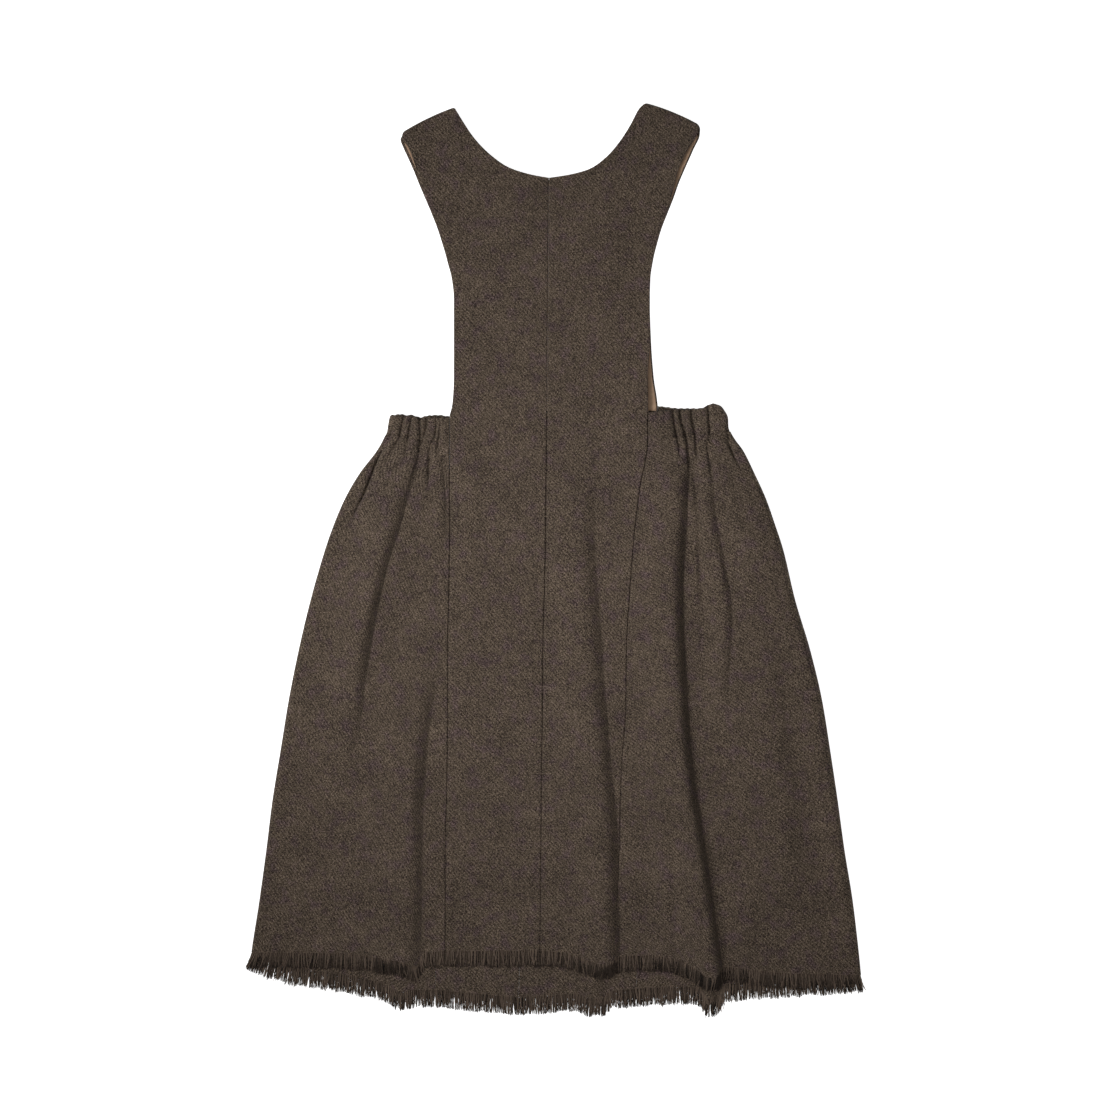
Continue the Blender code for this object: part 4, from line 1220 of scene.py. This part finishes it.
def casing(hand):
    """The elastic casing of one side, from the front seam round the side to the back seam."""
    side = fold_start(hand, CASING / 2, CASING)
    x, y = casing_rows(seam("front", hand, hand), side, 1)
    front = np.stack([x, y, lie_height(x, y)], axis=-1)
    rise = (y - y[0]) / (y[-1] - y[0])
    front[..., 1] += SCALLOP * pinches(x, y) * rise**TOP_ONLY  # the top edge dips at each gather
    turn, turn_normals = side_fold(front[:, -1], hand, CASING / 2, CASING)
    x_back, y_back = casing_rows(side, seam("back", hand, hand), 2)
    back = np.stack([x_back, y_back, np.full_like(x_back, CASING / 2)], axis=-1)[:, 1:]
    points = np.concatenate([front, turn, back], axis=1)
    up = np.broadcast_to((0.0, 0.0, 1.0), front.shape)
    down = np.broadcast_to((0.0, 0.0, -1.0), back.shape)
    normals = np.concatenate([up, turn_normals, down], axis=1)
    points, normals = spread_columns(points, normals, CASING_COLUMNS)
    run, above_seam = run_along(points, 1), points[..., 1] - points[:1, :, 1]
    most, *patch = PUFF_DRIFT
    drift = most * soft_noise(run, points[..., 1], *patch, 31 + hand)
    ripple = np.sin((run + drift) * 2 * math.pi / PUFF_PITCH)
    x, y = points[..., 0], points[..., 1]
    folds = front_middle(x, y)[..., 2] - lie_height(x, y)
    from_seams = np.minimum(above_seam, run)
    thick = smoothstep(0, SEWN_DOWN, from_seams)
    thinner = (CASING - SEWN_THICK) / 2 * (1 - thick)
    over = folds + pinches(x, y, 1) + PUFF * (ripple - PUFF_SUNK) * thick - thinner
    over = np.maximum(over, CLEFT_LEFT - CASING)
    facing = smoothstep(*OUTSIDE, normals[..., 2])
    relief = mix(PUFF_UNDER * (ripple - 1) / 2 * thick, over, facing)
    points[..., 1] += TOP_WAVE * ripple * (above_seam / above_seam[-1]) ** TOP_ONLY
    edges = LAPPED, FOLDED, LAPPED, LAPPED
    outer, _ = cloth_sides(points, normals, CASING, edges, relief)
    row = np.argmin(np.abs(above_seam.mean(axis=1) - STITCH_ROW))
    stitch_rows[hand] = outer[row]
    flat = grain_map(points, -hand)
    name = f"elastic_casing_{SIDES[hand]}"
    return cloth_piece(name, points, normals, CASING, edges, wool_tweed, flat, relief)


stitch_rows = {}
for hand in SIDES:
    cloth[f"casing_{SIDES[hand]}"] = casing(hand)

# %% [markdown]
# ## Bib lining
# The lining covers the back bib up to a little inside its turned edges. Only slivers of it show, at
# the armholes, where the front lies back from the edge. It is a thin cloth of its own and not a
# second colour on the back, so its edge lies on the tweed as a sewn one does.

# %% Make the linings
LINING_COLUMNS = 46
ARMHOLE_INSET = {-1: 2.3, 1: 1.2}  # the lining of the left one is rolled further in
LINING_WAVE = (0.12, 14.0, 30.0)  # height, width and length of its slight unevenness


def lining(hand):
    """The lining of one half of the back bib."""
    points, _ = bib_rows("back", hand, back_layer)
    points = points[: -len(CORNER_ROWS)]
    arm, neck = points[:, :1], points[:, -1:]
    along = (neck - arm) / np.linalg.norm(neck - arm, axis=-1, keepdims=True)
    inset, neck_inset = along * ARMHOLE_INSET[hand], along * LINING_INSET
    on_centre_seam = points[:, -1, 1] < NECK_Y["back"] + 0.1  # mm of tolerance
    neck_inset[on_centre_seam] = 0
    share = np.linspace(0, 1, points.shape[1])[:, None]
    points = mix(arm + inset, neck - neck_inset, share)
    height, across, along = LINING_WAVE
    wave = height * soft_noise(points[..., 0], points[..., 1], across, along, 71)
    points[..., 2] = TWEED + LINING_GAP + LINING / 2 + wave
    normals = np.zeros_like(points)
    normals[..., 2] = 1
    points, normals = spread_columns(points, normals, LINING_COLUMNS)
    edges = LAPPED, RAW, RAW, SIDE_SEAM
    name = f"bib_lining_{SIDES[hand]}"
    return cloth_piece(name, points, normals, LINING, edges, cotton_lining, grain_map(points, hand))


for hand in SIDES:
    cloth[f"lining_{SIDES[hand]}"] = lining(hand)

# %% [markdown]
# ## Frayed hem
# The hem isn't turned up. Its lowest weft yarns have been pulled out, so the warp yarns hang free
# for 12 to 16 mm. Each keeps the small waves that the weave pressed into it, and neighbours cling
# together towards their tips. Thin plies that have come loose lie close together, and fewer whole
# yarns, fuzzier, lie over them. The yarns on top are painted lighter and the plies under them darker,
# as painted light and painted shade. Hair curves could do this, but the fringe is a plain mesh like
# the other pieces. So one straight strand is modelled, an array repeats it, and each copy is bent
# along its own path, with its own length, sway and shade.

# %% Arrays of strands
def strand_array(name, count, sides, rings):
    """Straight strands from z = 0 to 1 as one mesh, with each point's strand, side and share."""
    bm = bmesh.new()
    bmesh.ops.create_cone(bm, cap_ends=True, segments=sides, radius1=0.25, radius2=0.25, depth=1)
    bmesh.ops.translate(bm, verts=bm.verts, vec=(0, 0, 0.5))
    upright = [edge for edge in bm.edges if abs(edge.verts[0].co.z - edge.verts[1].co.z) > 0.5]
    bmesh.ops.subdivide_edges(bm, edges=upright, cuts=rings - 2, use_grid_fill=True)
    mesh = bpy.data.meshes.new(name)
    bm.to_mesh(mesh)
    bm.free()
    one = bpy.data.objects.new(name, mesh)
    bpy.context.scene.collection.objects.link(one)
    array = one.modifiers.new("strands", "ARRAY")
    array.use_relative_offset, array.use_constant_offset = False, True
    array.constant_offset_displace = (1, 0, 0)
    array.count = count
    graph = bpy.context.evaluated_depsgraph_get()
    many = bpy.data.meshes.new_from_object(one.evaluated_get(graph))
    bpy.data.objects.remove(one)
    place = np.empty(len(many.vertices) * 3, np.float32)
    many.vertices.foreach_get("co", place)
    place = place.reshape(-1, 3).astype(float)
    number = np.rint(place[:, 0]).astype(int)
    side = np.stack([place[:, 0] - number, place[:, 1]], axis=-1)
    side /= np.linalg.norm(side, axis=-1, keepdims=True)
    return many, number, side, np.clip(place[:, 2], 0, 1)


def lay_strands(name, mesh, centre, aim, side, radius, shade, material):
    """Place the points of strands round their centre lines, and keep each strand's shade."""
    across = np.stack([-aim[:, 1], aim[:, 0], 0 * aim[:, 0]], axis=-1)
    across /= np.linalg.norm(across, axis=-1, keepdims=True)
    upward = np.cross(aim / np.linalg.norm(aim, axis=-1, keepdims=True), across)
    laid = centre + (across * side[:, :1] + upward * side[:, 1:]) * radius[:, None]
    mesh.vertices.foreach_set("co", (laid * MM).astype(np.float32).ravel())
    mesh.attributes.new("shade", "FLOAT", "POINT").data.foreach_set("value", shade.astype(np.float32))
    bm = bmesh.new()
    bm.from_mesh(mesh)
    bmesh.ops.recalc_face_normals(bm, faces=bm.faces)
    bm.to_mesh(mesh)
    bm.free()
    return finish_piece(name, mesh, material)


# %% Sizes of the fringe
Strands = namedtuple("Strands", "pitch radius sides rings stray cling tone vary over lift shorter")
# The whole yarns on top get a high tone and the plies under them a low one: painted light on the top layer
# and painted shade on the one beneath.
YARNS = Strands(  # lengths in mm, and stray, cling, tone and vary as shares
    pitch=1.25, radius=0.32, sides=4, rings=9, stray=0.13, cling=(0.0, 0.5),
    tone=0.80, vary=0.28, over=2.4, lift=0.75, shorter=0.2,
)
PLIES = Strands(
    pitch=0.33, radius=0.34, sides=3, rings=7, stray=0.035, cling=(0.0, 0.25),
    tone=0.08, vary=0.10, over=0.3, lift=-0.1, shorter=0.7,
)
FRINGE_LENGTH = {"front": (11.8, 14.0), "back": (13.6, 15.6)}  # shortest and longest yarns
FRINGE_REST = {"front": 2.1, "back": 0.55}  # height that their tips sink to
FRINGE_FAN = (0.38, 0.24)  # how far they lean outwards at the left and right end
FAN_ENDS = 6  # power that keeps the leaning to the ends of the hem
CLUMP = 2.2  # mm of the hem whose yarns cling together, on average
CLUMP_SWAY, CLUMP_TONE = 0.035, 0.08  # how clumps vary in slant and shade
LENGTH_STRAY = 0.5  # mm by which strands of a clump differ in length
LIFT_STRAY = 0.25  # mm by which they differ in height
CRIMP, CRIMP_LENGTH = 0.16, 3.6  # height and length of a yarn's waves, from the weave
SINK, SETTLE = 0.75, 0.6  # shares of a strand's height and of its lift that it loses towards its tip
SETTLE_BY = (0.1, 0.6)  # shares of its length between which it loses the lift
BELLY, TAPER = 0.12, 0.45  # how much thicker it is in its middle, and thinner at its tip
ABOVE_FLOOR = 0.05

# %% Make the fringe
def hem_roots(rows, pitch, rng):
    """Where strands leave the hem, one for about each pitch along it, in order from the left."""
    jitter = 0.3  # of the pitch
    roots = []
    for row in rows:
        run = run_along(row[None], 1)[0]
        at = np.arange(pitch / 2, run[-1], pitch)
        at = at + rng.uniform(-jitter, jitter, len(at)) * pitch
        roots.append(np.stack([np.interp(at, run, values) for values in row.T], axis=-1))
    roots = np.vstack(roots)
    return roots[np.argsort(roots[:, 0])]


def fringe(layer, kind, name, seed):
    """All strands of one kind along the hem of a layer."""
    rng = np.random.default_rng(seed)
    roots = hem_roots(hems[layer], kind.pitch, rng)
    count = len(roots)
    over = rng.uniform(0, kind.over, count)
    clump = np.cumsum(rng.random(count) < kind.pitch / CLUMP)
    size = np.maximum(np.bincount(clump), 1)
    middle = (np.bincount(clump, roots[:, 0]) / size)[clump]
    groups = clump[-1] + 1
    reach = rng.uniform(*FRINGE_LENGTH[layer], groups)[clump]
    reach = reach + rng.normal(0, LENGTH_STRAY, count) - kind.shorter
    cling = rng.uniform(*kind.cling, groups)[clump]
    sway = rng.normal(0, CLUMP_SWAY, groups)[clump] + rng.normal(0, kind.stray, count)
    left, right = roots[0, 0], roots[-1, 0]
    out = (roots[:, 0] * 2 - left - right) / (right - left)
    fan = np.sign(out) * np.abs(out) ** FAN_ENDS * np.where(out < 0, *FRINGE_FAN)
    phase, turn = rng.uniform(0, 2 * math.pi, (2, count))
    lift = kind.lift + rng.uniform(0, LIFT_STRAY, count)
    # A strand's tone is its kind's, which is painted light on the yarns and painted shade on the plies, plus
    # a random tone of its own and of its clump.
    tone = kind.tone + rng.normal(0, kind.vary, count) + rng.normal(0, CLUMP_TONE, groups)[clump]

    mesh, number, side, share = strand_array(name, count, kind.sides, kind.rings)
    k, t = number, share
    down = reach[k] * t - over[k]
    wave = 2 * math.pi * down / CRIMP_LENGTH + phase[k]
    x = roots[k, 0] + (middle - roots[:, 0])[k] * cling[k] * t**2 + down * fan[k]
    x = x + sway[k] * down * np.sqrt(t) + CRIMP * np.sin(wave + turn[k])
    z = mix(roots[k, 2], FRINGE_REST[layer], smoothstep(0, 1, t) * SINK)
    z = z + lift[k] * (1 - SETTLE * smoothstep(*SETTLE_BY, t))
    z = np.maximum(z + CRIMP * np.cos(wave), kind.radius + ABOVE_FLOOR)
    centre = np.stack([x, roots[k, 1] - down, z], axis=-1)
    aim = np.stack([fan[k] + sway[k], np.full(len(k), -1.0), np.zeros(len(k))], axis=-1)
    radius = kind.radius * (1 + BELLY * np.sin(math.pi * t)) * (1 - TAPER * t**4)
    return lay_strands(name, mesh, centre, aim, side, radius, tone[k], frayed_yarn)


strands = {}
for number, layer in enumerate(LAYERS):
    strands[layer] = fringe(layer, YARNS, f"hem_fringe_{layer}", 41 + number)
    strands[f"{layer}_plies"] = fringe(layer, PLIES, f"hem_plies_{layer}", 51 + number)

# %% [markdown]
# ## Stitches of the casings
# One row of stitches holds each casing to the skirt. The thread is dark and pulled down into the
# wool, so only short dashes of it show. They could be marks in the cloth's material, but real thread
# arches over the wool between its holes.

# %% Make the stitches
STITCH, STITCH_PITCH, STITCH_THICK = 2.2, 3.1, 0.38
STITCH_SINK = 0.16  # how deep its ends are pulled in
STITCH_ENDS = 0.35  # share of its thickness that is left at its ends
STITCH_SIDES, STITCH_RINGS = 6, 7
STITCH_AIM = 0.2  # mm before and after a point, between which its direction is measured
STITCH_CLEAR = 0.02  # mm between the floor and the stitches underneath
THREAD_SHADES = (0.3, 0.7)


def stitches(hand):
    """The row of stitches of one casing."""
    line = stitch_rows[hand]
    run = run_along(line[None], 1)[0]
    at = np.arange(STITCH_PITCH, run[-1] - STITCH_PITCH, STITCH_PITCH)
    mesh, number, side, share = strand_array("stitch", len(at), STITCH_SIDES, STITCH_RINGS)
    place = at[number] + STITCH * (share - 0.5)
    centre, before, after = (
        np.stack([np.interp(place + step, run, values) for values in line.T], axis=-1)
        for step in (0, -STITCH_AIM, STITCH_AIM)
    )
    aim = after - before
    out = np.stack([-aim[:, 2], 0 * aim[:, 0], aim[:, 0]], axis=-1) * -hand
    out = out / np.linalg.norm(out, axis=-1, keepdims=True)
    arch = np.sin(math.pi * share)[:, None]
    centre = centre + out * (STITCH_THICK / 2 * arch - STITCH_SINK)
    radius = STITCH_THICK / 2 * mix(STITCH_ENDS, 1, arch[:, 0] ** 0.5)
    centre[:, 2] = np.maximum(centre[:, 2], radius + STITCH_CLEAR)
    shade = np.random.default_rng(61).uniform(*THREAD_SHADES, len(at))[number]
    name = f"casing_stitches_{SIDES[hand]}"
    return lay_strands(name, mesh, centre, aim, side, radius, shade, sewing_thread)


for hand in SIDES:
    strands[f"stitches_{SIDES[hand]}"] = stitches(hand)

# %% [markdown]
# ## What each piece stands for
# Every piece lies where its solid does and rides on the one body. A sheet's flat size is the cut of
# the cloth that it stands for.

# %% Bodies, and the cut of each piece
Cut = namedtuple("Cut", "width length area held rests_on")
CUTS = {  # metres, and square metres
    "back_left": Cut(0.120, 0.712, 0.0515, "laid", ()),
    "back_right": Cut(0.146, 0.716, 0.0640, "laid", ()),
    "lining_left": Cut(0.118, 0.239, 0.0178, "laid", ("back_left",)),
    "lining_right": Cut(0.121, 0.242, 0.0190, "laid", ("back_right",)),
    "front_left": Cut(0.118, 0.675, 0.0516, "laid", ("lining_left", "back_left")),
    "front_right": Cut(0.128, 0.688, 0.0520, "laid", ("lining_right", "back_right")),
    "side_left": Cut(0.334, 0.450, 0.1300, "gathered", ("back_left",)),
    "side_right": Cut(0.405, 0.458, 0.1660, "gathered", ("back_right",)),
    "casing_left": Cut(0.110, 0.023, None, "gathered", ()),
    "casing_right": Cut(0.132, 0.023, None, "gathered", ()),
}
for node, piece in cloth.items():
    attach(piece, "root")
    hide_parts(node)
for name, piece in strands.items():
    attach(piece, "root")
for layer in LAYERS:
    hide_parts(f"fringe_{layer}")
for node, cut in CUTS.items():
    bm = bmesh.new()
    bm.from_mesh(cloth[node].data)
    area = sum(face.calc_area() for face in bm.faces) / 2
    bm.free()
    print(f"{cloth[node].name}: {area:.4f} square metres, cut {cut.area or cut.width * cut.length:.4f}")

# %% [markdown]
# ## Stage, light and camera
# The dress lies on a pale board that glows a little, so its outline stays clean. A soft key light
# stands on the left, about a metre up, and shades the right side of each fold. A second soft light
# hangs straight above the lower middle and keeps the skirt from going dark, and a weak even fill
# opens the deepest pinches. The camera looks straight down.

# %% Floor
FLOOR = 3.0  # half of the board's side, in metres
FLOOR_BELOW = 0.3 * MM  # so that the board and the cloth's underside don't share a plane
bm = bmesh.new()
bmesh.ops.create_grid(bm, x_segments=1, y_segments=1, size=FLOOR)
bmesh.ops.translate(bm, verts=bm.verts, vec=(0, 0, -FLOOR_BELOW))
floor_mesh = bpy.data.meshes.new("floor")
bm.to_mesh(floor_mesh)
bm.free()
pale_board, _, _ = new_material(
    "pale_backlit_board", Base_Color=linear("cbcbcb"), Roughness=0.9,
    Emission_Color=linear("ffffff"), Emission_Strength=1.0,
)
floor_mesh.materials.append(pale_board)
floor = bpy.data.objects.new("floor", floor_mesh)
bpy.context.scene.collection.objects.link(floor)

# %% Lights
def soft_light(name, place, aim, size, power, spread=180):
    """A round lamp of a diameter in metres, a power in watts and a spread in degrees."""
    light = bpy.data.lights.new(name, "AREA")
    light.shape, light.size, light.energy, light.spread = "DISK", size, power, math.radians(spread)
    lamp = bpy.data.objects.new(name, light)
    lamp.location = place
    lamp.rotation_euler = (Vector(aim) - Vector(place)).to_track_quat("-Z", "Y").to_euler()
    bpy.context.scene.collection.objects.link(lamp)
    return lamp


soft_light("key", (-0.76, -0.10, 1.04), (0.056, 0.2, 0), 0.5, 2.16, 69)
soft_light("top", (0.013, -0.18, 0.70), (0.013, -0.18, 0), 0.4, 2.28)
FILL = 0.095  # strength of the even fill
world = bpy.context.scene.world or bpy.data.worlds.new("world")
bpy.context.scene.world = world
world.use_nodes = True
sky = world.node_tree.nodes["Background"]
sky.inputs["Color"].default_value = linear("ffffff")
sky.inputs["Strength"].default_value = FILL
print("lights:", ", ".join(light.name for light in bpy.data.lights))

# %% Camera
VIEW_WIDTH = 0.88  # metres across the picture
VIEW_CENTRE = (-0.0048, 0.0096)
DISTANCE = 3.0  # from the board to the camera
camera_data = bpy.data.cameras.new("camera")
camera_data.lens = camera_data.sensor_width * DISTANCE / VIEW_WIDTH
camera = bpy.data.objects.new("camera", camera_data)
camera.location = (*VIEW_CENTRE, DISTANCE)
bpy.context.scene.collection.objects.link(camera)
bpy.context.scene.camera = camera
bpy.context.scene.view_settings.view_transform = "Standard"
bpy.context.scene.view_settings.look = "None"
print(f"camera: {VIEW_WIDTH} m across from {DISTANCE} m up, lens {camera_data.lens:.0f} mm")
